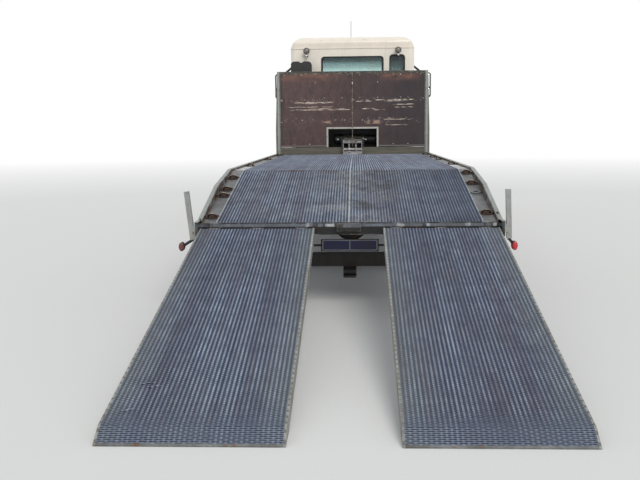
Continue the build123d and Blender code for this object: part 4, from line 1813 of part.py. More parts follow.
def rear_rims():
    """Both rims of a twin wheel, bolted disc to disc on one hub. The outer tyre's middle is X = 0."""
    plane = rear_disc_plane
    width = REAR_TYRE_WIDTH
    outer_disc = wheel_disc(plane + DISC_THICKNESS, plane + REAR_DISC_EDGE, width)
    inner_disc = mirror(wheel_disc(0, REAR_DISC_EDGE, width), about=Plane.YZ)
    drum_start = REAR_DRUM_START - TWIN_SPACING
    face = plane + DISC_THICKNESS
    hub = turned([(drum_start, 0), (drum_start, HUB_RADIUS), (face + STUD_LENGTH, HUB_RADIUS),
                  (REAR_HUB_END - HUB_CAP, HUB_NECK), (REAR_HUB_END, HUB_CAP_RADIUS), (REAR_HUB_END, 0)])
    pieces = [rim_barrel(width), Pos(-TWIN_SPACING, 0, 0) * rim_barrel(width), outer_disc,
              Pos(plane - DISC_THICKNESS, 0, 0) * inner_disc, hub, brake_drum(drum_start)] + studs(face)
    bore = bar_x(2 * drum_start, REAR_SPINDLE_END + HUB_CAP / 4, 0, 0, REAR_SPINDLE_RADIUS + PIN_CLEARANCE)
    return joined(pieces) - bore


def on_axle(side, shape, x, y):
    """Put a wheel piece on its axle."""
    return on_side(Pos(x, y, WHEEL_RADIUS) * shape, side)


os.makedirs("parts", exist_ok=True)

save("chassis_frame", chassis_frame())
save("deck_frame", deck_frame())
save("deck_mesh", deck_sheet(flat_line, deck_rests))
save("tail_mesh", deck_sheet(tail_line, tail_rests))
save("side_channels", [side_channel(-1), side_channel(1)])
save("lashing_rings", lashing_rings())
save("rear_beam", rear_beam())
save("outline_lamps", [marker_lamp(-1), marker_lamp(1)])
save("tail_lamps", tail_lamps())
save("headboard_frame", headboard_frame())
save("headboard_panel", headboard_panel())
save("winch", [winch(), winch_cover()])
save("fairlead", fairlead())
save("winch_wire", winch_wire())
save("cab_shell", cab_shell())
save("cab_roof", cab_roof())
save("cab_front", cab_front())
save("grille", grille())
save("cab_glass", cab_glass())
save("bumper", bumper())
save("headlamps", headlamps())
save("seats", seats())
save("dashboard", dashboard())
save("mudguards", mudguards())
save("entry_steps", steps())
save("air_intake", air_intake())
save("work_lamps", work_lamps())
save("aerial", aerial())
save("engine", engine())
save("drive_line", drive_line())
save("exhaust", exhaust())
save("fuel_tank", fuel_tank())
save("battery_box", battery_box())
save("front_axle", front_axle())
save("track_rod", track_rod())
save("rear_axle", rear_axle())
save("leaf_springs", leaf_springs())
save("side_guards", side_guards())
save("tow_frame", tow_frame())
save("plate_holder", plate_holder())

front_wheel = front_rim()
rear_wheel = rear_rims()
front_tyre = tyre(FRONT_TYRE_WIDTH)
rear_tyre = tyre(REAR_TYRE_WIDTH)
for side, hand in ((-1, "left"), (1, "right")):
    save(f"door_{hand}", door(side))
    save(f"door_glass_{hand}", door_glass(side))
    save(f"mirror_{hand}", door_mirror(side))
    save(f"knuckle_{hand}", knuckle(side))
    save(f"front_tyre_{hand}", on_axle(side, front_tyre, FRONT_WHEEL_X, front_axle_y))
    save(f"front_rim_{hand}", on_axle(side, front_wheel, FRONT_WHEEL_X, front_axle_y))
    save(f"rear_tyres_{hand}",
         [on_axle(side, rear_tyre, REAR_WHEEL_X - i * TWIN_SPACING, rear_axle_y) for i in (0, 1)])
    save(f"rear_rims_{hand}", on_axle(side, rear_wheel, REAR_WHEEL_X, rear_axle_y))
    save(f"ramp_{hand}", ramp_local(ramp_frame(), side * ramp_middle))
    save(f"ramp_mesh_{hand}", ramp_local(ramp_mesh(), side * ramp_middle))
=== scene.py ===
import math
import bpy
import numpy as np
from mathutils import Matrix, Vector
from mathutils.bvhtree import BVHTree


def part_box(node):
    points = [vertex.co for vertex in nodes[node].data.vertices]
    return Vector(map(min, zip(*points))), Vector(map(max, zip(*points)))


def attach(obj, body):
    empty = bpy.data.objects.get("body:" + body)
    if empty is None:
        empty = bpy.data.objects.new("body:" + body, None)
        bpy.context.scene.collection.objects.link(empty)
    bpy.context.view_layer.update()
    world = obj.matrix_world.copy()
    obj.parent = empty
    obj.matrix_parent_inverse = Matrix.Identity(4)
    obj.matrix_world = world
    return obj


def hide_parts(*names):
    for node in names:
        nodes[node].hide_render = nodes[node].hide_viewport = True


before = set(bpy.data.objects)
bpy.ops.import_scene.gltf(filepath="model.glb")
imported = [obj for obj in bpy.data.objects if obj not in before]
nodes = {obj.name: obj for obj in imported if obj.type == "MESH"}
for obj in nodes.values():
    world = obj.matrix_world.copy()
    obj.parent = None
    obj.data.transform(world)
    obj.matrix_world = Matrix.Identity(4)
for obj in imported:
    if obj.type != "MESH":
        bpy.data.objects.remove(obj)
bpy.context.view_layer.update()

# ---------------------------------------------------------------- camera
# The picture is taken from behind the ramps at eye height, almost on the truck's middle line
# and looking slightly down along it.
lens_mm = 48.2
camera_place = Vector((0.0648, -10.1764, 1.5121))
camera_yaw, camera_pitch, camera_roll = 0.04338, 0.12964, -0.00953
camera = bpy.data.objects.new("camera", bpy.data.cameras.new("camera"))
camera.data.lens = lens_mm
camera.data.sensor_width = 36.0
camera.data.clip_end = 400.0
ahead = Vector((-math.sin(camera_yaw) * math.cos(camera_pitch),
                math.cos(camera_yaw) * math.cos(camera_pitch), -math.sin(camera_pitch)))
level = Vector((math.cos(camera_yaw), math.sin(camera_yaw), 0.0))
over = level.cross(ahead)
camera_x = level * math.cos(camera_roll) + over * math.sin(camera_roll)
camera_y = over * math.cos(camera_roll) - level * math.sin(camera_roll)
camera.matrix_world = Matrix((
    (camera_x.x, camera_y.x, -ahead.x, camera_place.x),
    (camera_x.y, camera_y.y, -ahead.y, camera_place.y),
    (camera_x.z, camera_y.z, -ahead.z, camera_place.z),
    (0.0, 0.0, 0.0, 1.0)))
bpy.context.scene.collection.objects.link(camera)
bpy.context.scene.camera = camera
bpy.context.scene.view_settings.view_transform = "Standard"

# ---------------------------------------------------------------- studio
# A pale floor that runs out into a white surround, one broad soft lamp high behind the camera's
# right shoulder and an even fill from all sides.
floor_radius = 60.0
white_from, white_to = 11.0, 34.0       # how far out the floor begins and ends to turn white
fill_strength, fill_colour = 0.62, (0.93, 0.97, 1.0)
lamp_strength, lamp_colour = 1.55, (1.0, 0.97, 0.93)
lamp_spread = math.radians(28)
lamp_from = Vector((0.36, -0.92, 0.90))


def add_mesh(name, points, faces, material=None, smooth=False):
    """A new mesh object in the truck's frame."""
    mesh = bpy.data.meshes.new(name)
    mesh.from_pydata([tuple(p) for p in points], [], [tuple(f) for f in faces])
    mesh.validate()
    mesh.polygons.foreach_set("use_smooth", [smooth] * len(mesh.polygons))
    made = bpy.data.objects.new(name, mesh)
    bpy.context.scene.collection.objects.link(made)
    if material is not None:
        mesh.materials.append(material)
    return made


def new_material(name, roughness=0.5, metallic=0.0):
    """A material with its shader, ready for nodes."""
    material = bpy.data.materials.new(name)
    material.use_nodes = True
    tree = material.node_tree
    shader = tree.nodes["Principled BSDF"]
    shader.inputs["Roughness"].default_value = roughness
    shader.inputs["Metallic"].default_value = metallic
    return material, tree, shader


def linked(tree, socket, value):
    """Feed a socket from another socket, or set its number, place or colour."""
    if isinstance(value, bpy.types.NodeSocket):
        tree.links.new(value, socket)
    elif socket.type == "RGBA" and len(value) == 3:
        socket.default_value = (*value, 1.0)
    else:
        socket.default_value = value


def added(tree, kind, **inputs):
    """A new node with the named sockets fed; _ stands for the space in a socket's name."""
    node = tree.nodes.new("ShaderNode" + kind)
    for label, value in inputs.items():
        linked(tree, node.inputs[label.replace("_", " ")], value)
    return node


def math_node(tree, kind, a, b=0.0, clamp=False):
    """One sum on one or two values."""
    node = added(tree, "Math")
    node.operation = kind
    node.use_clamp = clamp
    linked(tree, node.inputs[0], a)
    linked(tree, node.inputs[1], b)
    return node.outputs[0]


def times(tree, *values):
    """Values multiplied together."""
    product = values[0]
    for value in values[1:]:
        product = math_node(tree, "MULTIPLY", product, value)
    return product


def mixed(tree, factor, under, over_it):
    """Two colours, the second over the first by a factor."""
    return added(tree, "MixRGB", Fac=factor, Color1=under, Color2=over_it).outputs["Color"]


def levels(tree, value, low, high, out_low=0.0, out_high=1.0):
    """A value stretched between two limits and clipped there."""
    return added(tree, "MapRange", Value=value, From_Min=low, From_Max=high, To_Min=out_low,
                 To_Max=out_high).outputs["Result"]


def place_on(tree, stretch=(1.0, 1.0, 1.0), shift=(0.0, 0.0, 0.0)):
    """The point on the piece, stretched along the truck's own axes."""
    where = added(tree, "TexCoord").outputs["Object"]
    return added(tree, "Mapping", Vector=where, Scale=stretch, Location=shift).outputs["Vector"]


def noise(tree, scale, stretch=(1.0, 1.0, 1.0), detail=5.0, shift=(0.0, 0.0, 0.0)):
    """Soft random patches over the piece."""
    return added(tree, "TexNoise", Scale=scale, Detail=detail, Roughness=0.6,
                 Vector=place_on(tree, stretch, shift)).outputs["Fac"]


def coloured(tree, shader, colour, rough=None):
    """Lay a colour on the surface, and a roughness where that varies."""
    linked(tree, shader.inputs["Base Color"], colour)
    if rough is not None:
        linked(tree, shader.inputs["Roughness"], rough)


def seen_straight(tree):
    """1 where the surface is seen by eye, in a reflection or through glass."""
    rays = added(tree, "LightPath").outputs
    seen = math_node(tree, "MAXIMUM", rays["Is Camera Ray"], rays["Is Glossy Ray"])
    return math_node(tree, "MAXIMUM", seen, rays["Is Transmission Ray"])


floor_points = [(0.0, 0.0, 0.0)]
rings, spokes = 12, 48
for ring in range(1, rings + 1):
    radius = floor_radius * (ring / rings) ** 2
    for spoke in range(spokes):
        angle = spoke * 2 * math.pi / spokes
        floor_points.append((radius * math.cos(angle), radius * math.sin(angle), 0.0))
floor_faces = [(0, 1 + s, 1 + (s + 1) % spokes) for s in range(spokes)]
for ring in range(rings - 1):
    inner, outer = 1 + ring * spokes, 1 + (ring + 1) * spokes
    for s in range(spokes):
        t = (s + 1) % spokes
        floor_faces.append((inner + s, outer + s, outer + t, inner + t))
floor_material, tree, shader = new_material("studio_floor", 0.9)
far = tree.nodes.new("ShaderNodeVectorMath")
far.operation = "LENGTH"
tree.links.new(place_on(tree), far.inputs[0])
white_out = levels(tree, far.outputs["Value"], white_from, white_to)
coloured(tree, shader, mixed(tree, noise(tree, 60.0), (0.72, 0.72, 0.71), (0.76, 0.76, 0.75)))
glow = added(tree, "Emission")
blend = added(tree, "MixShader", Fac=times(tree, seen_straight(tree), white_out))
tree.links.new(shader.outputs["BSDF"], blend.inputs[1])
tree.links.new(glow.outputs["Emission"], blend.inputs[2])
tree.links.new(blend.outputs["Shader"], tree.nodes["Material Output"].inputs["Surface"])
studio_floor = add_mesh("studio_floor", floor_points, floor_faces, floor_material)

world = bpy.data.worlds.new("studio")
bpy.context.scene.world = world
world.use_nodes = True
tree = world.node_tree
fill = tree.nodes["Background"]
linked(tree, fill.inputs["Color"], fill_colour)
fill.inputs["Strength"].default_value = fill_strength
surround = added(tree, "Background", Color=(1.0, 1.0, 1.0))
blend = added(tree, "MixShader", Fac=seen_straight(tree))
tree.links.new(fill.outputs["Background"], blend.inputs[1])
tree.links.new(surround.outputs["Background"], blend.inputs[2])
tree.links.new(blend.outputs["Shader"], tree.nodes["World Output"].inputs["Surface"])

lamp = bpy.data.objects.new("soft_lamp", bpy.data.lights.new("soft_lamp", "SUN"))
lamp.data.energy = lamp_strength
lamp.data.angle = lamp_spread
lamp.data.color = lamp_colour
lamp.rotation_euler = lamp_from.to_track_quat("Z", "Y").to_euler()
bpy.context.scene.collection.objects.link(lamp)


# ---------------------------------------------------------------- weather
# What years outdoors leave on every piece: road film that gathers low down and in streaks, and
# paint or zinc rubbed bright along the edges. Each is one group, set for its own material.
def new_group(name, inputs, outputs):
    """An empty node group with its sockets, and its two end nodes."""
    group = bpy.data.node_groups.new(name, "ShaderNodeTree")
    for label, kind in inputs:
        group.interface.new_socket(label, in_out="INPUT", socket_type=kind)
    for label, kind in outputs:
        group.interface.new_socket(label, in_out="OUTPUT", socket_type=kind)
    return group, group.nodes.new("NodeGroupInput"), group.nodes.new("NodeGroupOutput")


def from_group(tree, group, **inputs):
    """The outputs of a node group used in a material, with its named sockets fed."""
    node = tree.nodes.new("ShaderNodeGroup")
    node.node_tree = group
    for label, value in inputs.items():
        linked(tree, node.inputs[label], value)
    return node.outputs


def axis_place(tree, axis):
    """One coordinate of the point on the piece: X, Y or Z."""
    where = added(tree, "TexCoord").outputs["Object"]
    return added(tree, "SeparateXYZ", Vector=where).outputs[axis]


rust = (0.15, 0.060, 0.022)

edge_group, told, given = new_group(
    "edge_wear", [("Width", "NodeSocketFloat"), ("Amount", "NodeSocketFloat")],
    [("Mask", "NodeSocketFloat")])
rounded = added(edge_group, "Bevel", Radius=told.outputs["Width"])
rounded.samples = 4
facing = added(edge_group, "VectorMath")
facing.operation = "DOT_PRODUCT"
edge_group.links.new(rounded.outputs["Normal"], facing.inputs[0])
edge_group.links.new(added(edge_group, "NewGeometry").outputs["Normal"], facing.inputs[1])
sharp = levels(edge_group, facing.outputs["Value"], 0.995, 0.90)
patchy = levels(edge_group, noise(edge_group, 9.0, detail=6.0), 0.42, 0.66)
linked(edge_group, given.inputs["Mask"], times(edge_group, sharp, patchy, told.outputs["Amount"]))

grain_group, told, given = new_group(
    "fine_grain", [("Scale", "NodeSocketFloat")], [("Height", "NodeSocketFloat")])
grain = added(grain_group, "TexNoise", Detail=4.0, Scale=told.outputs["Scale"],
              Vector=place_on(grain_group))
linked(grain_group, given.inputs["Height"], grain.outputs["Fac"])

rust_group, told, given = new_group(
    "rust_specks",
    [("Colour", "NodeSocketColor"), ("Scale", "NodeSocketFloat"), ("Amount", "NodeSocketFloat")],
    [("Colour", "NodeSocketColor"), ("Mask", "NodeSocketFloat")])
specks = added(rust_group, "TexNoise", Detail=8.0, Scale=told.outputs["Scale"],
               Vector=place_on(rust_group, shift=(2.0, 7.0, 3.0)))
spots = times(rust_group, levels(rust_group, specks.outputs["Fac"], 0.60, 0.68), told.outputs["Amount"])
linked(rust_group, given.inputs["Colour"], mixed(rust_group, spots, told.outputs["Colour"], rust))
linked(rust_group, given.inputs["Mask"], spots)

film_group, told, given = new_group(
    "road_film",
    [("Colour", "NodeSocketColor"), ("Film", "NodeSocketColor"), ("Amount", "NodeSocketFloat")],
    [("Colour", "NodeSocketColor"), ("Mask", "NodeSocketFloat")])
streaks = levels(film_group, noise(film_group, 5.0, (3.0, 3.0, 0.45), 7.0), 0.40, 0.72)
clouds = levels(film_group, noise(film_group, 2.3, detail=7.0, shift=(4.0, 1.0, 0.0)), 0.35, 0.70)
low_down = levels(film_group, axis_place(film_group, "Z"), 1.6, 0.3, 0.35, 1.0)
gathered = times(film_group, math_node(film_group, "ADD", streaks, clouds), low_down)
mask = math_node(film_group, "MULTIPLY", gathered, told.outputs["Amount"], clamp=True)
linked(film_group, given.inputs["Colour"],
       mixed(film_group, mask, told.outputs["Colour"], told.outputs["Film"]))
linked(film_group, given.inputs["Mask"], mask)


def edge_mask(tree, width, amount):
    """Where the edges of a piece are worn."""
    return from_group(tree, edge_group, Width=width, Amount=amount)["Mask"]


def filmed(tree, colour, film, amount):
    """A colour under road film, and the mask of where the film lies."""
    given_back = from_group(tree, film_group, Colour=colour, Film=film, Amount=amount)
    return given_back["Colour"], given_back["Mask"]


def fine_grain(tree, scale):
    """Height of the small unevenness in a surface."""
    return from_group(tree, grain_group, Scale=scale)["Height"]


def rusted(tree, colour, scale, amount):
    """A colour with specks of rust, and the mask of the specks."""
    given_back = from_group(tree, rust_group, Colour=colour, Scale=scale, Amount=amount)
    return given_back["Colour"], given_back["Mask"]


# ---------------------------------------------------------------- galvanised steel
# Deck channels, rails, rear beam, ramp frames and the bearers are folded steel dipped in zinc, now
# dull and streaked with road dirt. The outer rails are worn pale, rust creeps out of the joint
# between rail and channel, and the bearers under the mesh are nearly black with film and painted shade.
zinc_base = (0.150, 0.166, 0.178)
zinc_pale = (0.265, 0.290, 0.295)
zinc_dark = (0.080, 0.086, 0.092)
zinc_bright = (0.62, 0.64, 0.63)
road_dirt = (0.105, 0.084, 0.062)
rail_edge_x, trim_x = 1.2095, 1.091     # between outer rail and channel floor, and the mesh's edge
beam_lip_z, beam_face_z = 0.735, 0.708
post_x = 1.258                          # the corner posts stand outside this
ramp_middle, ramp_inside_half = 0.7465, 0.455
weld_pitch = 0.054


def away_from(tree, value, middle=0.0):
    """How far a value lies from the middle, either way."""
    if middle:
        value = math_node(tree, "SUBTRACT", value, middle)
    return math_node(tree, "ABSOLUTE", value)


def band(tree, value, middle, half, soft):
    """1 within half of the middle, falling to 0 over the soft edge."""
    return levels(tree, away_from(tree, value, middle), half, half + soft, 1.0, 0.0)


def raised(tree, shader, height, depth, strength=0.6):
    """Small relief in the surface, in metres."""
    node = added(tree, "Bump", Strength=strength, Distance=depth, Height=height)
    tree.links.new(node.outputs["Normal"], shader.inputs["Normal"])


def dress(material, *names):
    """Give CAD nodes their finish."""
    for name in names:
        for place in nodes[name].material_slots:
            place.material = material


def galvanised(name, dirt, wear, base=zinc_base, pale=zinc_pale, rusty=0.5, zone=None):
    """Zinc under road film; zone may lay a colour over the bare metal before the film."""
    material, tree, shader = new_material(name, 0.5, 0.25)
    spangle = added(tree, "TexVoronoi", Scale=70.0, Vector=place_on(tree))
    flake_and_dash_pattern = levels(tree, spangle.outputs["Color"], 0.2, 0.9, 0.0, 0.5)
    colour = mixed(tree, flake_and_dash_pattern, base, pale)
    cloudy = levels(tree, noise(tree, 6.0, (1.0, 0.6, 1.0), 8.0), 0.42, 0.72, 0.0, 0.8)
    colour = mixed(tree, cloudy, colour, zinc_dark)
    if zone is not None:
        colour = zone(tree, colour)
    colour, film = filmed(tree, colour, road_dirt, dirt)
    colour = rusted(tree, colour, 26.0, rusty)[0]
    colour = mixed(tree, edge_mask(tree, 0.006, wear), colour, zinc_bright)
    coloured(tree, shader, colour, levels(tree, film, 0.0, 1.0, 0.42, 0.85))
    raised(tree, shader, fine_grain(tree, 90.0), 0.0006, 0.5)
    return material


def channel_zones(tree, colour):
    """Pale outer rails, rust in the joint beside them, bare white patches and a bright inner edge."""
    out = away_from(tree, axis_place(tree, "X"))
    rail = levels(tree, out, rail_edge_x - 0.001, rail_edge_x + 0.001)
    colour = mixed(tree, times(tree, rail, 0.85), colour, (0.30, 0.335, 0.325))
    floor = levels(tree, out, rail_edge_x, rail_edge_x - 0.0015)
    mud = levels(tree, noise(tree, 14.0, (1.0, 0.6, 1.0), 8.0, (1.0, 1.0, 4.0)), 0.40, 0.62, 0.35, 0.85)
    colour = mixed(tree, times(tree, mud, floor), colour, (0.062, 0.067, 0.076))
    bare = levels(tree, noise(tree, 7.0, (1.4, 0.8, 1.0), 5.0, (3.0, 6.0, 0.0)), 0.38, 0.44, 0.0, 0.95)
    bare = times(tree, bare, band(tree, axis_place(tree, "Y"), -0.78, 0.42, 0.10))
    colour = mixed(tree, times(tree, bare, floor), colour, (0.55, 0.56, 0.56))
    joint = band(tree, out, rail_edge_x - 0.0015, 0.003, 0.010)
    eaten = levels(tree, noise(tree, 11.0, detail=6.0), 0.36, 0.52)
    colour = mixed(tree, times(tree, joint, eaten), colour, (0.055, 0.026, 0.014))
    trim_edge = band(tree, out, trim_x, 0.0028, 0.0008)
    return mixed(tree, times(tree, trim_edge, 0.8), colour, (0.42, 0.47, 0.49))


def beam_zones(tree, colour):
    """White worn lengths along the rear beam, painted shade in dark patches along it, in dark dashes along
    its top edge and over its face below the lip, and pale corner posts.
    """
    bare = colour
    along_x = noise(tree, 3.4, (1.6, 0.2, 0.4), 6.0, (5.0, 0.0, 2.0))
    rubbed_wear_and_highlight = levels(tree, along_x, 0.54, 0.60, 0.0, 0.9)
    # near-black patches along the beam: painted shade in gaps
    painted_gap_shade = levels(tree, noise(tree, 9.0, (1.5, 0.3, 0.4), 5.0), 0.56, 0.62, 0.0, 0.9)
    colour = mixed(tree, rubbed_wear_and_highlight, colour, (0.56, 0.58, 0.60))
    colour = mixed(tree, painted_gap_shade, colour, (0.030, 0.030, 0.032))
    height = axis_place(tree, "Z")
    # dark dashes on the beam's top edge: painted shade of the mesh openings at the tail's end
    flake_and_dash_pattern = levels(tree, noise(tree, 14.0, (1.0, 0.2, 0.2), 5.0, (2.0, 0.0, 0.0)), 0.40, 0.50, 0.2, 0.9)
    painted_opening_shade = times(tree, levels(tree, height, beam_lip_z - 0.003, beam_lip_z), flake_and_dash_pattern)
    colour = mixed(tree, painted_opening_shade, colour, (0.024, 0.024, 0.026))
    out = away_from(tree, axis_place(tree, "X"))
    # the beam's face below the lip, between the posts, is painted near black: painted shade under the lip
    face = times(tree, levels(tree, height, beam_face_z + 0.006, beam_face_z),
                 levels(tree, out, post_x + 0.004, post_x - 0.003))
    colour = mixed(tree, face, colour, (0.014, 0.014, 0.016))
    whitened = levels(tree, noise(tree, 9.0, (1.0, 1.0, 0.4), 6.0), 0.40, 0.66, 0.45, 0.90)
    post = mixed(tree, whitened, bare, (0.54, 0.53, 0.49))
    return mixed(tree, levels(tree, out, post_x, post_x + 0.006), colour, post)


def ramp_zones(tree, colour):
    """Pale rims beside the ramps' mesh, nicked where the ends of its strands are welded on."""
    out = away_from(tree, axis_place(tree, "X"))
    rim = levels(tree, away_from(tree, out, ramp_middle), ramp_inside_half - 0.001, ramp_inside_half + 0.001)
    dashes = math_node(tree, "FRACT", math_node(tree, "DIVIDE", axis_place(tree, "Y"), weld_pitch))
    nicked = band(tree, dashes, 0.5, 0.12, 0.10)
    patchy = levels(tree, noise(tree, 5.0, detail=5.0), 0.30, 0.55, 0.25, 1.0)
    colour = mixed(tree, times(tree, rim, patchy), colour, (0.36, 0.385, 0.36))
    return mixed(tree, times(tree, rim, nicked, patchy, 0.75), colour, (0.060, 0.062, 0.060))


# bearers nearly black: road film and painted shade seen through the gaps of the mesh
zinc = galvanised("galvanised_bearers_dirt_and_shade", 0.35, 0.1, (0.020, 0.022, 0.025), (0.038, 0.041, 0.045))
zinc_channel = galvanised("galvanised_channel", 0.25, 0.7, zone=channel_zones)
zinc_beam = galvanised("galvanised_beam", 0.12, 0.6, (0.150, 0.170, 0.205), (0.270, 0.300, 0.350),
                       zone=beam_zones)
zinc_ramp = galvanised("galvanised_ramp_steel", 0.4, 0.5, rusty=0.8, zone=ramp_zones)
dress(zinc, "deck_frame")
dress(zinc_channel, "side_channels")
dress(zinc_beam, "rear_beam")
dress(zinc_ramp, "ramp_left", "ramp_right")

# ---------------------------------------------------------------- deck mesh
# The running surface is raised expanded metal: sheets slit and drawn into wavy strands, welded down
# on the bearers in two rows that meet in a seam along the middle. The light stripes along the truck
# are painted highlight on the flat knuckles of the strands.
hinge_height = 0.680
hinge_line = Vector((0.0, -3.2348, hinge_height))
tail_edge = (-3.1848, 0.752)
deck_bend = (-1.4448, 1.090)
deck_end_y = 3.7849
mesh_half = 1.0878
seam_half = 0.004
diamond_width = 0.050
diamond_height = 0.0225
strand_width = 0.0082
strand_rise = 0.0068
strand_high = 0.62              # height of a strand's front edge as a share of its rear edge

# stripes along the columns of strand knuckles, used as a painted highlight
column_group, told, given = new_group(
    "knuckle_highlight_stripes", [("First", "NodeSocketFloat"), ("Pitch", "NodeSocketFloat")],
    [("Stripes", "NodeSocketFloat"), ("Streaks", "NodeSocketFloat")])
out = away_from(column_group, axis_place(column_group, "X"))
column = math_node(column_group, "SUBTRACT", out, told.outputs["First"])
column = math_node(column_group, "DIVIDE", column, told.outputs["Pitch"])
wave = math_node(column_group, "COSINE", times(column_group, column, 2 * math.pi))
linked(column_group, given.inputs["Stripes"], levels(column_group, wave, -0.25, 0.75))
lengthwise = noise(column_group, 2.0, (8.0, 0.20, 0.4), 6.0)
linked(column_group, given.inputs["Streaks"], levels(column_group, lengthwise, 0.36, 0.66))


def mesh_metal(name, first, pitch, under, dull, knuckle_highlight, brown_amount, zone):
    """Zinc of the running surface with painted highlight stripes; zone adds its own marks and a mask that
    roughens it.
    """
    material, tree, shader = new_material(name, 0.5, 0.3)
    columns = from_group(tree, column_group, First=first, Pitch=pitch)
    colour = mixed(tree, columns["Streaks"], under, dull)
    # how strongly the painted knuckle highlight shows, in patches
    highlight_patchiness = levels(tree, noise(tree, 16.0, (1.0, 0.45, 1.0), 6.0, (1.0, 3.0, 0.0)), 0.36, 0.66, 0.50, 1.0)
    colour = mixed(tree, times(tree, columns["Stripes"], highlight_patchiness, 0.85), colour, knuckle_highlight)
    violet = levels(tree, noise(tree, 1.6, (7.0, 0.22, 0.4), 5.0, (3.0, 8.0, 0.0)), 0.46, 0.62, 0.0, 0.36)
    colour = mixed(tree, violet, colour, (0.150, 0.128, 0.178))
    patches = noise(tree, 1.5, (1.5, 0.8, 1.0), 8.0, (9.0, 2.0, 0.0))
    patches = levels(tree, patches, 0.44, 0.68, 0.0, brown_amount)
    colour = mixed(tree, patches, colour, (0.135, 0.112, 0.085))
    colour, grime = zone(tree, colour)
    coloured(tree, shader, colour, levels(tree, grime, 0.0, 1.0, 0.46, 0.8))
    return material


def deck_zones(tree, colour):
    """Worn pale and yellowed along the middle of the tail, rusty at its bend, with scuff marks across."""
    out = away_from(tree, axis_place(tree, "X"))
    middle = levels(tree, out, 0.62, 0.10)
    tail = levels(tree, axis_place(tree, "Y"), -1.40, -1.50)
    crust = levels(tree, noise(tree, 42.0, (1.0, 0.6, 1.0), 9.0, (2.0, 2.0, 0.0)), 0.46, 0.56, 0.0, 0.80)
    clouds = levels(tree, noise(tree, 2.2, (1.0, 1.4, 1.0), 6.0, (8.0, 1.0, 0.0)), 0.40, 0.60)
    worn = times(tree, middle, tail, times(tree, crust, clouds))
    colour = mixed(tree, worn, colour, (0.43, 0.43, 0.41))
    right = levels(tree, axis_place(tree, "X"), 0.10, 0.95, 0.0, 0.42)
    colour = mixed(tree, times(tree, right, tail), colour, (0.070, 0.090, 0.140))
    dark = levels(tree, noise(tree, 2.6, (1.0, 1.0, 1.0), 7.0, (7.0, 5.0, 0.0)), 0.52, 0.66, 0.0, 0.6)
    colour = mixed(tree, times(tree, dark, tail, middle), colour, (0.070, 0.060, 0.052))
    line = band(tree, axis_place(tree, "Y"), deck_bend[0] - 0.012, 0.010, 0.030)
    broken = levels(tree, noise(tree, 3.0, (1.0, 4.0, 1.0), 7.0), 0.40, 0.66, 0.0, 0.75)
    colour = mixed(tree, times(tree, line, broken), colour, (0.130, 0.075, 0.050))
    seam_worn = band(tree, axis_place(tree, "X"), 0.0, 0.005, 0.016)
    chips = levels(tree, noise(tree, 9.0, (0.6, 1.0, 1.0), 8.0), 0.47, 0.60, 0.0, 0.75)
    return mixed(tree, times(tree, seam_worn, chips), colour, (0.34, 0.35, 0.34)), worn


def expanded_metal(name, x0, x1, path, material, rise=strand_rise):
    """Wavy strands of three faces each, side by side over a sheet that follows a side-view path."""
    corners = np.array(path, dtype=float)
    steps = np.diff(corners, axis=0)
    runs = np.hypot(steps[:, 0], steps[:, 1])
    starts = np.concatenate([[0.0], np.cumsum(runs)])
    length = starts[-1]
    columns = max(2, round((x1 - x0) / (diamond_width / 2)))
    strands = max(2, round(length / (diamond_height / 2)))
    pitch = length / strands
    sway = (pitch - strand_width) / 2
    i = np.arange(columns + 1)
    m = np.arange(strands)
    sign = np.where((i[None, :] + m[:, None]) % 2 == 0, 1.0, -1.0)
    middle = (m[:, None] + 0.5) * pitch + sign * sway
    s = np.stack([middle - strand_width / 2, middle - strand_width / 2, middle + strand_width / 2], -1)
    s = np.clip(s, 0.0, length)
    h = np.broadcast_to(np.array([-rise, 0.0, -rise * (1 - strand_high)]), s.shape)
    leg = np.clip(np.searchsorted(starts, s, side="right") - 1, 0, len(runs) - 1)
    along = steps / runs[:, None]
    y = corners[leg, 0] + (s - starts[leg]) * along[leg, 0] - h * along[leg, 1]
    z = corners[leg, 1] + (s - starts[leg]) * along[leg, 1] + h * along[leg, 0]
    x = np.broadcast_to((x0 + (x1 - x0) * i / columns)[None, :, None], s.shape)
    points = np.stack([x, y, z], -1)
    row = (m[:, None] * (columns + 1) + i[None, :-1]) * 3
    a, b, c = row, row + 1, row + 2
    faces = np.concatenate([np.stack([p, p + 3, q + 3, q], -1).reshape(-1, 4)
                            for p, q in ((a, b), (b, c), (c, a))])
    first = m * (columns + 1) * 3
    last = first + columns * 3
    ends = np.concatenate([np.stack([first, first + 1, first + 2], -1),
                           np.stack([last + 2, last + 1, last], -1)])
    return add_mesh(name, points.reshape(-1, 3), faces.tolist() + ends.tolist(), material)


column_pitch = (mesh_half - seam_half) / round((mesh_half - seam_half) / (diamond_width / 2))
deck_metal = mesh_metal("deck_mesh_zinc", seam_half, column_pitch, (0.080, 0.104, 0.168),
                        (0.142, 0.178, 0.262), (0.66, 0.71, 0.78), 0.24, deck_zones)
for side, x0, x1 in (("left", -mesh_half, -seam_half), ("right", seam_half, mesh_half)):
    for piece, path in (("deck", [deck_bend, (deck_end_y, deck_bend[1])]),
                        ("tail", [tail_edge, deck_bend])):
        sheet = expanded_metal(f"{piece}_sheet_{side}", x0, x1, path, deck_metal)
        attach(sheet, "root")
        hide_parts(f"{piece}_mesh")


def between_rings(rings, size, closed=True, looped=False, inward=False):
    """Faces between rings of points, closed round each ring or looped back from last to first."""
    faces = []
    for r in range(rings if looped else rings - 1):
        a, b = r * size, (r + 1) % rings * size
        for j in range(size if closed else size - 1):
            q = (j + 1) % size
            faces.append((a + j, b + j, b + q, a + q) if inward else (a + j, a + q, b + q, b + j))
    return faces


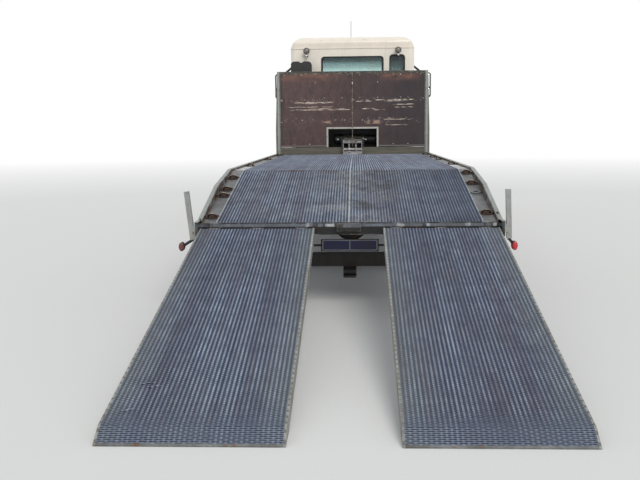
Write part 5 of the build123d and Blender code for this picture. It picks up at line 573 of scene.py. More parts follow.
def ring_ends(rings, size, inward=False):
    """Faces that close the first and the last ring."""
    first, last = tuple(range(size)), tuple(range((rings - 1) * size, rings * size))
    return [first, last[::-1]] if inward else [first[::-1], last]


def bar_between(points, half_width, thickness):
    """Corners and faces of a flat bar that follows points and hangs below them."""
    corners = []
    for p in points:
        for x, drop in ((-half_width, 0.0), (half_width, 0.0), (half_width, thickness),
                        (-half_width, thickness)):
            corners.append((p[0] + x, p[1], p[2] - drop))
    first_end, last_end = ring_ends(len(points), 4, inward=True)
    return corners, [first_end, *between_rings(len(points), 4, inward=True), last_end]


seam_points, seam_faces = bar_between(
    [(0.0, tail_edge[0], tail_edge[1] - 0.002), (0.0, deck_bend[0], deck_bend[1] - 0.002),
     (0.0, deck_end_y, deck_bend[1] - 0.002)], seam_half, 0.007)
seam = add_mesh("mesh_seam", seam_points, seam_faces, deck_metal)
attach(seam, "root")

# ---------------------------------------------------------------- ramp mesh
# Each ramp has the same expanded metal let in between its side beams and bent down over the toe.
# It is darker than the deck, with faint brown where tyres climb; hooks have torn two strands of the
# left one.
ramp_heel, below_hinge = 2.928, 0.050
ramp_slope = (math.asin(hinge_height / math.hypot(ramp_heel, below_hinge))
              - math.atan(below_hinge / ramp_heel))
ramp_face = 0.038
ramp_sheet_half = 0.4552
ramp_start, toe_start, toe_end, toe_low = 0.0365, 2.985, 3.0835, -0.0008


def on_ramp(away, off=ramp_face):
    """Side-view point this far down a ramp from the hinge line and off its slope."""
    return (hinge_line.y - away * math.cos(ramp_slope) - off * math.sin(ramp_slope),
            hinge_line.z - away * math.sin(ramp_slope) + off * math.cos(ramp_slope))


def ramp_mesh_zones(tree, colour):
    """Green-grey margins, a dark violet middle and no stripes over the toe, where strands face you."""
    out = away_from(tree, away_from(tree, axis_place(tree, "X")), ramp_middle)
    margin = levels(tree, out, 0.26, 0.45, 0.0, 0.38)
    colour = mixed(tree, margin, colour, (0.30, 0.325, 0.31))
    dark = levels(tree, noise(tree, 1.1, (3.6, 0.30, 0.5), 6.0, (5.0, 5.0, 0.0)), 0.46, 0.64, 0.0, 0.40)
    colour = mixed(tree, dark, colour, (0.070, 0.068, 0.105))
    toe = levels(tree, axis_place(tree, "Y"), on_ramp(toe_start - 0.16)[0], on_ramp(toe_start)[0], 0.0, 0.60)
    return mixed(tree, toe, colour, (0.150, 0.185, 0.262)), dark


ramp_pitch = 2 * ramp_sheet_half / round(2 * ramp_sheet_half / (diamond_width / 2))
ramp_metal = mesh_metal("ramp_mesh_zinc", ramp_middle - ramp_sheet_half, ramp_pitch,
                        (0.062, 0.090, 0.170), (0.108, 0.142, 0.226), (0.60, 0.67, 0.76), 0.24,
                        ramp_mesh_zones)
ramp_path = [on_ramp(toe_end, toe_low), on_ramp(toe_start), on_ramp(ramp_start)]
for side, sign in (("left", -1), ("right", 1)):
    sheet = expanded_metal(f"ramp_sheet_{side}", sign * ramp_middle - ramp_sheet_half,
                           sign * ramp_middle + ramp_sheet_half, ramp_path, ramp_metal)
    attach(sheet, f"ramp_{side}")
    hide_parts(f"ramp_mesh_{side}")


def tube(points, radius, sides=6):
    """A round bar that follows points."""
    spots = [Vector(p) for p in points]
    corners = []
    for n, spot in enumerate(spots):
        run = (spots[min(n + 1, len(spots) - 1)] - spots[max(n - 1, 0)]).normalized()
        across = run.orthogonal().normalized() if n == 0 else (across - run * across.dot(run)).normalized()
        other = run.cross(across)
        for j in range(sides):
            a = 2 * math.pi * j / sides
            corners.append(spot + across * (radius * math.cos(a)) + other * (radius * math.sin(a)))
    return corners, between_rings(len(spots), sides) + ring_ends(len(spots), sides)


def gathered_mesh(name, parts, material, smooth=False):
    """Several shapes as one mesh."""
    points, faces = [], []
    for more_points, more_faces in parts:
        base = len(points)
        points += [tuple(p) for p in more_points]
        faces += [tuple(v + base for v in f) for f in more_faces]
    return add_mesh(name, points, faces, material, smooth)


strand_reach, strand_radius = 0.085, 0.0028
torn = []
for away, x in ((2.575, -1.105), (2.850, -1.140), (2.610, -1.060)):
    bent = []
    for n in range(9):
        share = n / 8
        lift = 0.009 * math.sin(math.pi * share) - 0.002
        y, z = on_ramp(away + 0.010 * math.sin(share * 5.0), ramp_face + lift)
        bent.append((x + strand_reach * share, y, z))
    torn.append(tube(bent, strand_radius))
torn_strands = gathered_mesh("torn_strands", torn, ramp_metal, True)
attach(torn_strands, "ramp_left")

# ---------------------------------------------------------------- lashing pots
# Every pot in the side channels holds a forged ring, stiff with rust, so most of them stay up. Pot
# and ring are dark brown, and a pale highlight is painted on the rings' upward faces, part of it worn metal.
pot_places = {-1: [0.150, 0.800, 1.020, 1.450, 2.820, 4.830, 6.500],
              1: [0.230, 1.190, 1.590, 2.920, 4.470, 5.360, 6.700]}
pot_x = 1.150
pot_radius = 0.0437
pot_depth = 0.0337
channel_drop = 0.004
tail_angle = math.atan((deck_bend[1] - tail_edge[1]) / (deck_bend[0] - tail_edge[0]))


def surface_at(from_edge):
    """Where the deck's surface is, and which way is along and up there."""
    if from_edge < deck_bend[0] - tail_edge[0]:
        rise, run = math.sin(tail_angle), math.cos(tail_angle)
        return (tail_edge[0] + from_edge, tail_edge[1] + from_edge * math.tan(tail_angle),
                (0.0, run, rise), (0.0, -rise, run))
    return tail_edge[0] + from_edge, deck_bend[1], (0.0, 1.0, 0.0), (0.0, 0.0, 1.0)


def turned_about(centre, across, along, up, rings_of, segments):
    """A body turned about the up direction: rings of (radius, height) from first to last."""
    points = []
    for radius, height in rings_of:
        for k in range(segments):
            angle = 2 * math.pi * k / segments
            points.append(Vector(centre) + Vector(across) * (radius * math.cos(angle))
                          + Vector(along) * (radius * math.sin(angle)) + Vector(up) * height)
    return points, between_rings(len(rings_of), segments) + ring_ends(len(rings_of), segments)


pot_rust, tree, shader = new_material("pot_rust", 0.85)
coloured(tree, shader, mixed(tree, fine_grain(tree, 40.0), (0.014, 0.009, 0.007), (0.055, 0.027, 0.015)))
raised(tree, shader, fine_grain(tree, 120.0), 0.002)
ring_steel, tree, shader = new_material("ring_steel", 0.55, 0.4)
colour = mixed(tree, fine_grain(tree, 35.0), (0.046, 0.025, 0.015), (0.016, 0.010, 0.008))
# pale painted highlight on the rings' upward faces, where light falls from above, partly worn metal
upward = added(tree, "SeparateXYZ", Vector=added(tree, "NewGeometry").outputs["Normal"])
rubbed_wear_and_highlight = levels(tree, upward.outputs["Z"], 0.40, 0.80)
rubbed_wear_and_highlight = times(tree, rubbed_wear_and_highlight, levels(tree, noise(tree, 30.0), 0.40, 0.52, 0.2, 1.0))
coloured(tree, shader, mixed(tree, rubbed_wear_and_highlight, colour, (0.56, 0.46, 0.34)))
raised(tree, shader, fine_grain(tree, 150.0), 0.001)
dress(ring_steel, "lashing_rings")

# (radius, height) from the flange down into the pot, and over the dirt caked in it
dish = [(0.0620, 0.0004), (0.0600, 0.0070), (0.0540, 0.0092), (0.0470, 0.0080), (pot_radius, 0.0010),
        (pot_radius - 0.003, -0.010), (pot_radius - 0.006, -pot_depth + 0.006),
        (pot_radius - 0.016, -pot_depth + 0.0015), (0.006, -pot_depth + 0.001)]
caked = [(0.0300, -pot_depth + 0.002), (0.0270, -0.012), (0.0200, 0.002), (0.0110, 0.008), (0.0020, 0.010)]
dishes = []
for side in (-1, 1):
    for from_edge in pot_places[side]:
        y, z, along, up = surface_at(from_edge)
        top = Vector((side * pot_x, y, z)) - Vector(up) * channel_drop
        dishes.append(turned_about(top, (1, 0, 0), along, up, dish, 24))
        dishes.append(turned_about(top, (1, 0, 0), along, up, caked, 16))
pot_dishes = gathered_mesh("pot_dirt", dishes, pot_rust, True)
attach(pot_dishes, "root")

# ---------------------------------------------------------------- headboard
# Dark film-faced plywood on a zinc frame. Hooks and chains have cut pale lines across both sheets,
# the film is rubbed orange along the top, and light wood shows in two torn patches. A dirty kick
# board closes the foot, and a pale angle frames the opening for the winch.
board_y = 3.9055
opening_half, opening_top, surround_width = 0.395, 1.500, 0.028
# (from x, to x, height, half width) of each cut; (x, z, half width, half height) of each torn patch
cut_lines = [(-0.94, -0.30, 1.926, 0.0060), (-0.80, -0.34, 1.910, 0.0030), (-1.02, -0.31, 1.854, 0.0035),
             (-1.00, -0.04, 1.808, 0.0050), (-0.70, -0.10, 1.824, 0.0025), (0.06, 0.30, 1.942, 0.0045),
             (0.38, 0.98, 1.960, 0.0070), (0.52, 0.90, 1.942, 0.0030), (0.66, 0.99, 1.885, 0.0040),
             (0.68, 0.97, 1.841, 0.0030), (0.12, 0.36, 1.820, 0.0060), (0.34, 0.52, 1.803, 0.0030),
             (0.52, 0.94, 1.648, 0.0030), (0.54, 0.92, 1.559, 0.0030)]
torn_patches = [(-0.430, 1.612, 0.085, 0.020), (0.335, 1.612, 0.130, 0.038)]


def scratched_board():
    """Brown film with cuts, rubs and torn patches, with painted shade beside the uprights, over a pale line,
    painted shade in the gap below it and a dirty board at the foot.
    """
    material, tree, shader = new_material("scratched_plywood", 0.5)
    x, z = axis_place(tree, "X"), axis_place(tree, "Z")
    grain = noise(tree, 5.0, (3.0, 1.0, 1.2), 9.0)
    colour = mixed(tree, levels(tree, grain, 0.36, 0.68), (0.090, 0.049, 0.046), (0.048, 0.029, 0.030))
    blotch = levels(tree, noise(tree, 2.0, (1.0, 1.0, 1.6), 8.0, (3.0, 0.0, 5.0)), 0.44, 0.68, 0.0, 0.30)
    colour = mixed(tree, blotch, colour, (0.128, 0.080, 0.077))
    marks = levels(tree, noise(tree, 16.0, (2.0, 1.0, 0.7), 9.0, (6.0, 0.0, 2.0)), 0.55, 0.66, 0.0, 0.35)
    colour = mixed(tree, marks, colour, (0.024, 0.018, 0.019))
    specks = levels(tree, noise(tree, 55.0, (1.0, 1.0, 1.0), 8.0, (0.0, 0.0, 9.0)), 0.60, 0.68, 0.0, 0.5)
    colour = mixed(tree, specks, colour, (0.34, 0.24, 0.20))
    right = levels(tree, x, -0.30, 0.90, 0.0, 0.80)
    colour = mixed(tree, right, colour, (0.017, 0.013, 0.018))
    # darker towards both uprights: painted shade between the panel and its uprights
    outer = levels(tree, away_from(tree, x), 1.120, 1.160, 0.0, 0.75)
    colour = mixed(tree, outer, colour, (0.020, 0.016, 0.017))
    rub = band(tree, z, 2.345, 0.010, 0.095)
    patch = levels(tree, noise(tree, 8.0, (1.0, 1.0, 1.6), 9.0, (1.0, 0.0, 8.0)), 0.34, 0.70)
    ends = math_node(tree, "MAXIMUM", band(tree, x, -0.80, 0.25, 0.50), band(tree, x, 0.75, 0.15, 0.25))
    colour = mixed(tree, times(tree, rub, patch, ends), colour, (0.225, 0.105, 0.070))
    worn_top = levels(tree, noise(tree, 11.0, (1.6, 1.0, 6.0), 7.0, (2.0, 0.0, 2.0)), 0.52, 0.60)
    top_band = levels(tree, z, 2.376, 2.386)
    colour = mixed(tree, times(tree, top_band, 0.85), colour,
                   mixed(tree, worn_top, (0.034, 0.032, 0.028), (0.26, 0.25, 0.19)))
    wobble = noise(tree, 4.0, (1.0, 1.0, 1.0), 4.0, (0.0, 0.0, 3.0))
    cut_z = math_node(tree, "ADD", z, times(tree, math_node(tree, "SUBTRACT", wobble, 0.5), 0.022))
    chips = levels(tree, noise(tree, 12.0, (1.0, 1.0, 8.0), 9.0, (4.0, 0.0, 1.0)), 0.44, 0.58)
    cut = None
    for x0, x1, cut_at, half in cut_lines:
        line = times(tree, band(tree, cut_z, cut_at, half, 0.003),
                         band(tree, x, (x0 + x1) / 2, (x1 - x0) / 2 - 0.03, 0.05))
        cut = line if cut is None else math_node(tree, "MAXIMUM", cut, line)
    cut = times(tree, cut, chips)
    colour = mixed(tree, cut, colour, (0.76, 0.64, 0.53))
    pecked = math_node(tree, "MAXIMUM", band(tree, z, 1.972, 0.020, 0.030),
                       band(tree, z, 1.630, 0.030, 0.030))
    pecks = levels(tree, noise(tree, 26.0, (1.0, 1.0, 1.4), 9.0, (0.0, 0.0, 5.0)), 0.61, 0.67, 0.0, 0.75)
    colour = mixed(tree, times(tree, pecked, pecks), colour, (0.56, 0.50, 0.47))
    flaked = levels(tree, noise(tree, 16.0, (1.0, 1.0, 2.0), 8.0, (0.0, 0.0, 6.0)), 0.44, 0.54)
    for at_x, at_z, half_x, half_z in torn_patches:
        spot = times(tree, band(tree, x, at_x, half_x * 0.6, half_x * 0.5),
                         band(tree, z, at_z, half_z * 0.6, half_z * 0.6))
        colour = mixed(tree, times(tree, spot, flaked), colour, (0.36, 0.24, 0.18))
    joint = band(tree, x, 0.0, 0.004, 0.012)
    frayed = levels(tree, noise(tree, 20.0, (1.0, 1.0, 0.7), 6.0), 0.52, 0.60, 0.0, 0.8)
    colour = mixed(tree, times(tree, joint, frayed), colour, (0.50, 0.42, 0.33))
    pale_foot = times(tree, band(tree, z, 1.226, 0.003, 0.003), 0.7)
    colour = mixed(tree, pale_foot, colour, (0.36, 0.34, 0.31))
    # near-black strip below the pale line: painted shade in the gap above the kick board
    colour = mixed(tree, levels(tree, z, 1.219, 1.214, 0.0, 0.9), colour, (0.012, 0.011, 0.011))
    kick = levels(tree, z, 1.2035, 1.2030)
    streak = levels(tree, noise(tree, 6.0, (0.5, 1.0, 9.0), 7.0), 0.36, 0.66)
    colour = mixed(tree, kick, colour, mixed(tree, streak, (0.072, 0.070, 0.055), (0.150, 0.135, 0.105)))
    coloured(tree, shader, colour, levels(tree, grain, 0.3, 0.7, 0.42, 0.64))
    raised(tree, shader, math_node(tree, "SUBTRACT", grain, times(tree, cut, 0.6)), 0.0015, 0.4)
    return material


def board_frame_zones(tree, colour):
    """Green-grey uprights with a paler middle, a dark top rail and the pale angle round the opening."""
    out, z = away_from(tree, axis_place(tree, "X")), axis_place(tree, "Z")
    stripe = times(tree, band(tree, out, 1.203, 0.010, 0.010), levels(tree, out, 1.10, 1.17))
    colour = mixed(tree, times(tree, stripe, 0.7), colour, (0.42, 0.43, 0.39))
    rail_z = math_node(tree, "ADD", z, times(tree, noise(tree, 3.0, (1.0, 1.0, 0.1)), 0.02))
    rail = times(tree, levels(tree, rail_z, 2.372, 2.378), levels(tree, out, 1.168, 1.160))
    colour = mixed(tree, times(tree, rail, 0.85), colour, (0.050, 0.052, 0.048))
    near_x = levels(tree, out, opening_half + surround_width + 0.003, opening_half + surround_width - 0.001)
    near_z = levels(tree, z, opening_top + surround_width + 0.003, opening_top + surround_width - 0.001)
    face = levels(tree, axis_place(tree, "Y"), board_y, board_y - 0.0012)
    return mixed(tree, times(tree, near_x, near_z, face, 0.9), colour, (0.55, 0.53, 0.48))


board_wood = scratched_board()
zinc_board = galvanised("galvanised_board_steel", 0.25, 0.7, (0.140, 0.155, 0.138), (0.235, 0.25, 0.225),
                        zone=board_frame_zones)
dress(board_wood, "headboard_panel")
dress(zinc_board, "headboard_frame")


def dome(centre, outward, radius, height, segments=12):
    """A low round screw head or lens that stands on a surface."""
    up = Vector(outward).normalized()
    across = up.orthogonal().normalized()
    along = up.cross(across)
    return turned_about(centre, across, along, up,
                        [(radius, 0.0), (radius * 0.92, height * 0.5), (radius * 0.6, height * 0.9),
                         (radius * 0.2, height)], segments)


screw_steel, tree, shader = new_material("screw_steel", 0.4, 0.6)
stained = levels(tree, noise(tree, 22.0, detail=5.0), 0.42, 0.58)
coloured(tree, shader, mixed(tree, stained, (0.55, 0.53, 0.50), (0.17, 0.12, 0.09)))
raised(tree, shader, fine_grain(tree, 200.0), 0.0005)
screw_radius, screw_height = 0.009, 0.004
screws = []
for z, columns in ((2.365, (-1.10, -0.82, -0.595, -0.41, -0.07, 0.12, 0.41, 0.66, 0.78, 0.95, 1.10)),
                   (2.246, (-0.60, 0.41)), (2.000, (-0.82, -0.455, -0.17, 0.12, 0.41, 0.78)),
                   (1.640, (-1.10, -0.82, -0.60, -0.17, 0.16, 0.52, 0.60, 0.78)),
                   (1.252, (-0.95, -0.70, 0.66, 0.90))):
    for x in columns:
        screws.append(dome((x, board_y + 0.0001, z), (0, -1, 0), screw_radius, screw_height))
screw_heads = gathered_mesh("board_screws", screws, screw_steel, True)
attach(screw_heads, "root")

# ---------------------------------------------------------------- winch
# A worm-gear winch with a cast frame stands under a black sheet cover, its drum full of steel wire;
# the wire runs out between bright greased rollers and is hooked up on the headboard.
def painted(name, colour, rough=0.45, dirt=0.4, wear=0.6, under=(0.30, 0.29, 0.28), width=0.004):
    """Paint under road film, worn through along its edges."""
    material, tree, shader = new_material(name, rough)
    uneven = levels(tree, noise(tree, 4.0, detail=6.0), 0.3, 0.7, 0.0, 0.35)
    darker = tuple(c * 0.72 for c in colour)
    tone, film = filmed(tree, mixed(tree, uneven, colour, darker), road_dirt, dirt)
    tone = mixed(tree, edge_mask(tree, width, wear), tone, under)
    coloured(tree, shader, tone, levels(tree, film, 0.0, 1.0, rough, 0.88))
    raised(tree, shader, fine_grain(tree, 70.0), 0.0004, 0.4)
    return material


def bare_steel(name, pale, dark, rough=0.34, rusty=0.6):
    """Brushed steel with specks of rust."""
    material, tree, shader = new_material(name, rough, 0.8)
    brushed = noise(tree, 14.0, (1.0, 6.0, 6.0), 6.0)
    tone = mixed(tree, levels(tree, brushed, 0.38, 0.66), pale, dark)
    tone, spots = rusted(tree, tone, 33.0, rusty)
    coloured(tree, shader, tone, levels(tree, spots, 0.0, 1.0, rough, 0.8))
    raised(tree, shader, brushed, 0.0004, 0.3)
    return material


winch_black = painted("winch_paint", (0.014, 0.015, 0.017), 0.45, 0.15, 0.4)
bright_steel = bare_steel("bright_steel", (0.72, 0.73, 0.74), (0.40, 0.40, 0.41))
wire_steel = bare_steel("wire_rope_steel", (0.30, 0.27, 0.23), (0.050, 0.045, 0.040), 0.5)
dress(winch_black, "winch")
roller_steel = bare_steel("roller_steel", (0.44, 0.44, 0.43), (0.10, 0.10, 0.10), 0.45)
dress(roller_steel, "fairlead")
dress(wire_steel, "winch_wire")

ferrule_radius, ferrule_bottom, ferrule_top = 0.009, 2.200, 2.245
wire_tree = BVHTree.FromObject(nodes["winch_wire"], bpy.context.evaluated_depsgraph_get())
ferrule_ends = [wire_tree.ray_cast(Vector((0.0, 3.0, z)), Vector((0, 1, 0)))[0] + Vector((0, 0.005, 0))
                for z in (ferrule_bottom, ferrule_top)]
ferrule = gathered_mesh("wire_ferrule", [tube(ferrule_ends, ferrule_radius, 12)], bright_steel, True)
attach(ferrule, "root")

drum_y, drum_z = 4.2052, 1.330
drum_core, drum_half = 0.055, 0.150
rope_radius = 0.005
layers = 3


def ring_about(centre, first, second, radius, thickness, segments, sides):
    """A round bar bent to a circle in the plane of two directions."""
    first, second = Vector(first), Vector(second)
    normal = first.cross(second)
    points = []
    for k in range(segments):
        angle = 2 * math.pi * k / segments
        away = first * math.cos(angle) + second * math.sin(angle)
        for j in range(sides):
            a = 2 * math.pi * j / sides
            points.append(Vector(centre) + away * (radius + thickness * math.cos(a))
                          + normal * (thickness * math.sin(a)))
    return points, between_rings(segments, sides, looped=True, inward=True)


turns = []
for layer in range(layers):
    around_drum = drum_core + rope_radius * (1.02 + layer * 1.75)
    for n in range(int(2 * drum_half / (2 * rope_radius)) - 1):
        x = -drum_half + rope_radius * (2 * n + 1 + layer % 2)
        if layer == layers - 1 and n % 11 == 10:
            continue
        turns.append(ring_about((x, drum_y, drum_z), (0, 1, 0), (0, 0, 1), around_drum,
                                rope_radius * 0.96, 30, 5))
cap = [(0.024, 0.0), (0.024, 0.016), (0.015, 0.030), (0.006, 0.034)]
fittings = [turned_about(at, (1, 0, 0), (0, 0, 1), (0, -1, 0), cap, 12)
            for at in ((-0.246, 4.1185, 1.322), (0.176, 4.1395, 1.338), (0.215, 4.1395, 1.322))]
winch_fittings = gathered_mesh("winch_grease_caps", fittings, bright_steel, True)
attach(winch_fittings, "root")
rope_turns = gathered_mesh("rope_on_drum", turns, wire_steel, True)
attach(rope_turns, "root")

# ---------------------------------------------------------------- cab body
# Pressed steel, painted white and yellowed by sun and dust, with a black rubber seal round every
# pane and a black gutter seam; the doors hang on it in the same paint, and black plastic covers the
# bumper, grille, mirrors and steps.
white = (0.92, 0.855, 0.755)
roof_white = (0.88, 0.800, 0.690)


def cab_white(name, tone):
    """White top coat with a clear gloss, thin grey run-off and worn edges."""
    material = painted(name, tone, 0.28, 0.06, 0.30, (0.42, 0.40, 0.37), 0.003)
    tree = material.node_tree
    shader = tree.nodes["Principled BSDF"]
    shader.inputs["Coat Weight"].default_value = 0.3
    run_off = levels(tree, noise(tree, 5.0, (2.4, 2.4, 0.25), 7.0, (2.0, 0.0, 0.0)), 0.54, 0.76, 0.0, 0.30)
    under = shader.inputs["Base Color"].links[0].from_socket
    coloured(tree, shader, mixed(tree, run_off, under, (0.46, 0.43, 0.37)))
    return material


cab_paint = cab_white("cab_white_paint", white)
roof_paint = cab_white("cab_roof_paint", roof_white)
dress(cab_paint, "cab_shell", "cab_front", "door_left", "door_right")
dress(roof_paint, "cab_roof")

mottle_group, told, given = new_group(
    "mottled_tones",
    [("First", "NodeSocketColor"), ("Second", "NodeSocketColor"), ("Scale", "NodeSocketFloat"),
     ("Detail", "NodeSocketFloat"), ("High", "NodeSocketFloat")],
    [("Colour", "NodeSocketColor")])
cloud = added(mottle_group, "TexNoise", Scale=told.outputs["Scale"], Detail=told.outputs["Detail"],
              Roughness=0.6, Vector=place_on(mottle_group))
cloud = levels(mottle_group, cloud.outputs["Fac"], 0.35, told.outputs["High"])
linked(mottle_group, given.inputs["Colour"],
       mixed(mottle_group, cloud, told.outputs["First"], told.outputs["Second"]))


def mottled(tree, scale, first, second, detail=5.0, high=0.7):
    """Two tones in soft patches."""
    return from_group(tree, mottle_group, First=first, Second=second, Scale=scale, Detail=detail,
                      High=high)["Colour"]


black_plastic, tree, shader = new_material("weathered_black_plastic", 0.55)
tone = mottled(tree, 6.0, (0.013, 0.013, 0.015), (0.028, 0.028, 0.029), 6.0)
tone, film = filmed(tree, tone, (0.080, 0.068, 0.054), 0.22)
coloured(tree, shader, tone, levels(tree, film, 0.0, 1.0, 0.48, 0.85))
raised(tree, shader, fine_grain(tree, 260.0), 0.0004, 0.7)
dress(black_plastic, "grille", "bumper", "mudguards", "entry_steps", "air_intake", "mirror_left",
      "mirror_right", "work_lamps", "aerial")

rubber, tree, shader = new_material("seal_rubber", 0.62)
coloured(tree, shader, mixed(tree, noise(tree, 12.0), (0.010, 0.010, 0.011), (0.026, 0.025, 0.025)))
raised(tree, shader, fine_grain(tree, 200.0), 0.0004)


def window_glass(name, tint, band_tint, band_from, band_to):
    """Tinted safety glass, darker towards its top, with a thin dust film."""
    material, tree, shader = new_material(name, 0.04)
    shader.inputs["Transmission Weight"].default_value = 0.85
    shader.inputs["IOR"].default_value = 1.45
    top = levels(tree, axis_place(tree, "Z"), band_from, band_to)
    colour = mixed(tree, top, tint, band_tint)
    small_pane = times(tree, levels(tree, axis_place(tree, "X"), 0.58, 0.60),
                           levels(tree, axis_place(tree, "Y"), 4.66, 4.64, 0.0, 0.85))
    colour = mixed(tree, small_pane, colour, (0.060, 0.110, 0.125))
    dust = levels(tree, noise(tree, 3.0, (1.0, 1.0, 0.5), 7.0), 0.45, 0.85, 0.0, 0.35)
    coloured(tree, shader, mixed(tree, dust, colour, (0.40, 0.40, 0.36)),
             levels(tree, dust, 0.0, 0.4, 0.03, 0.35))
    return material


cab_panes = window_glass("cab_window_glass", (0.78, 0.98, 0.95), (0.16, 0.28, 0.30), 2.56, 2.65)
door_panes = window_glass("door_window_glass", (0.62, 0.80, 0.77), (0.50, 0.68, 0.66), 2.40, 2.60)
dress(cab_panes, "cab_glass")
dress(door_panes, "door_glass_left", "door_glass_right")


def rounded_outline(x0, z0, x1, z1, corner, steps=5):
    """Points round a rectangle with rounded corners, counter-clockwise."""
    points = []
    for cx, cz, start in ((x1 - corner, z1 - corner, 0), (x0 + corner, z1 - corner, 90),
                          (x0 + corner, z0 + corner, 180), (x1 - corner, z0 + corner, 270)):
        for k in range(steps + 1):
            a = math.radians(start + 90 * k / steps)
            points.append((cx + corner * math.cos(a), cz + corner * math.sin(a)))
    return points


def seal_round(outline, to_place, outward, width, height):
    """A rubber strip with a rounded back round an outline; to_place gives an outline point's place."""
    points = []
    middle = sum((Vector((*p, 0)) for p in outline), Vector()) / len(outline)
    profile = ((-width, 0.0), (-width * 0.8, height * 0.7), (0.0, height), (width * 0.8, height * 0.7),
               (width, 0.0))
    for p in outline:
        away = (Vector((*p, 0)) - middle).normalized()
        for side, rise in profile:
            spot = to_place(p[0] + away.x * side, p[1] + away.y * side)
            points.append(Vector(spot) + Vector(outward) * rise)
    return points, between_rings(len(outline), len(profile), looped=True, inward=True)


cab_rear_y = 4.5052
rear_panes = [(0.0, 1.020, 2.200, 2.700), (0.752, 0.245, 2.280, 2.716)]
seals = []
for middle, width, low, high in rear_panes:
    outline = rounded_outline(middle - width / 2, low, middle + width / 2, high, 0.050)
    seals.append(seal_round(outline, lambda x, z: (x, cab_rear_y - 0.0003, z), (0, -1, 0), 0.017, 0.009))
rear_seals = gathered_mesh("rear_window_seals", seals, rubber, True)
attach(rear_seals, "root")

depsgraph = bpy.context.evaluated_depsgraph_get()
front_trees = [BVHTree.FromObject(nodes[name], depsgraph) for name in ("cab_shell", "cab_glass")]


def front_at(x, z, out=0.0):
    """The foremost point of the cab's front at this place, a little outside it."""
    hits = [surface.ray_cast(Vector((x, 7.0, z)), Vector((0, -1, 0)), 1.3)[0] for surface in front_trees]
    return Vector((x, max(hit.y for hit in hits if hit is not None) + out, z))


def divided(outline, parts):
    """An outline with points along its sides; parts gives how many each side has from its length."""
    points = []
    for p, q in zip(outline, outline[1:] + outline[:1]):
        steps = parts(math.dist(p, q))
        points += [(p[0] + (q[0] - p[0]) * n / steps, p[1] + (q[1] - p[1]) * n / steps) for n in range(steps)]
    return points


screen_outline = divided(rounded_outline(-0.912, 1.878, 0.912, 2.732, 0.090, 8),
                         lambda length: max(1, round(length / 0.10)))
screen_strip = seal_round(screen_outline, front_at, (0, 1, 0), 0.016, 0.006)
screen_seal = gathered_mesh("windscreen_seal", [screen_strip], rubber, True)
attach(screen_seal, "root")

door_window = divided([(0.488, 1.878), (1.290, 1.878), (1.156, 2.612), (0.488, 2.612)], lambda length: 6)
door_face_x = 1.0402
for side, sign in (("left", -1), ("right", 1)):
    strip = seal_round(door_window, lambda ahead, z: (sign * door_face_x, cab_rear_y + ahead, z),
                       (sign, 0, 0), 0.012, 0.004)
    seal = gathered_mesh(f"door_window_seal_{side}", [strip], rubber, True)
    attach(seal, f"door_{side}")

wiper_reach, wiper_tilt, blade_length = 0.62, 0.20, 0.56
wiper_parts = []
for pivot_x in (-0.52, 0.22):
    pivot = front_at(pivot_x, 1.845, 0.020)
    tip = front_at(pivot_x + wiper_reach * 0.75, 2.02, 0.022)
    wiper_parts.append(tube([pivot, (pivot + tip) / 2 + Vector((0, 0.012, 0)), tip], 0.007))
    blade = [front_at(tip.x - blade_length / 2 + blade_length * n / 8,
                      1.925 + wiper_tilt * blade_length * n / 8 + 0.04, 0.009) for n in range(9)]
    wiper_parts.append(tube(blade, 0.006, 5))
    wiper_parts.append(dome(pivot, (0, 1, 0), 0.016, 0.008))
wipers = gathered_mesh("wipers", wiper_parts, black_plastic, True)
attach(wipers, "root")



def thin_pane(x0, z0, x1, z1, corner, y, thick, shrunk):
    """A thin pane facing backwards, with rounded corners and bevelled edges."""
    outline = rounded_outline(x0, z0, x1, z1, corner)
    middle_x, middle_z = (x0 + x1) / 2, (z0 + z1) / 2
    rows = [(x, y, z) for x, z in outline]
    rows += [(middle_x + (x - middle_x) * shrunk[0], y - thick, middle_z + (z - middle_z) * shrunk[1])
             for x, z in outline]
    return rows, between_rings(2, len(outline)) + ring_ends(2, len(outline), inward=True)


mirror_glass, tree, shader = new_material("mirror_glass", 0.03, 1.0)
dust = levels(tree, noise(tree, 4.0, detail=6.0), 0.5, 0.8, 0.0, 0.3)
coloured(tree, shader, mixed(tree, dust, (0.72, 0.74, 0.76), (0.40, 0.38, 0.34)))
mirror_x, mirror_half, mirror_y = 1.315, 0.088, 5.7677
for side, sign in (("left", -1), ("right", 1)):
    parts = [thin_pane(sign * mirror_x - mirror_half, z0, sign * mirror_x + mirror_half, z1, 0.022,
                       mirror_y - 0.0003, 0.0019, (0.95, 0.95))
             for z0, z1 in ((2.085, 2.220), (2.240, 2.475))]
    mirror_panes = gathered_mesh(f"mirror_glass_{side}", parts, mirror_glass)
    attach(mirror_panes, f"door_{side}")

# ---------------------------------------------------------------- cab roof
# A panel pressed from thin sheet and welded to the cab's gutters, in white paint dulled by the sun.
# Two stiffening ribs are pressed into it and run back over its rear slope.
roof_tree = BVHTree.FromObject(nodes["cab_roof"], depsgraph)
rib_profile = ((-0.022, -0.001), (-0.012, 0.004), (0.0, 0.006), (0.012, 0.004), (0.022, -0.001))
ribs = []
for x in (-0.52, 0.21):
    crown = []
    for n in range(15):
        hit = roof_tree.ray_cast(Vector((x, 4.53 + n * 0.06, 3.4)), Vector((0, 0, -1)))
        crown.append((hit[0], hit[1]))
    points = [spot + Vector((side, 0, 0)) + outward * rise
              for spot, outward in crown for side, rise in rib_profile]
    ribs.append((points, between_rings(len(crown), len(rib_profile), closed=False)))
roof_ribs = gathered_mesh("roof_ribs", ribs, roof_paint, True)
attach(roof_ribs, "root")

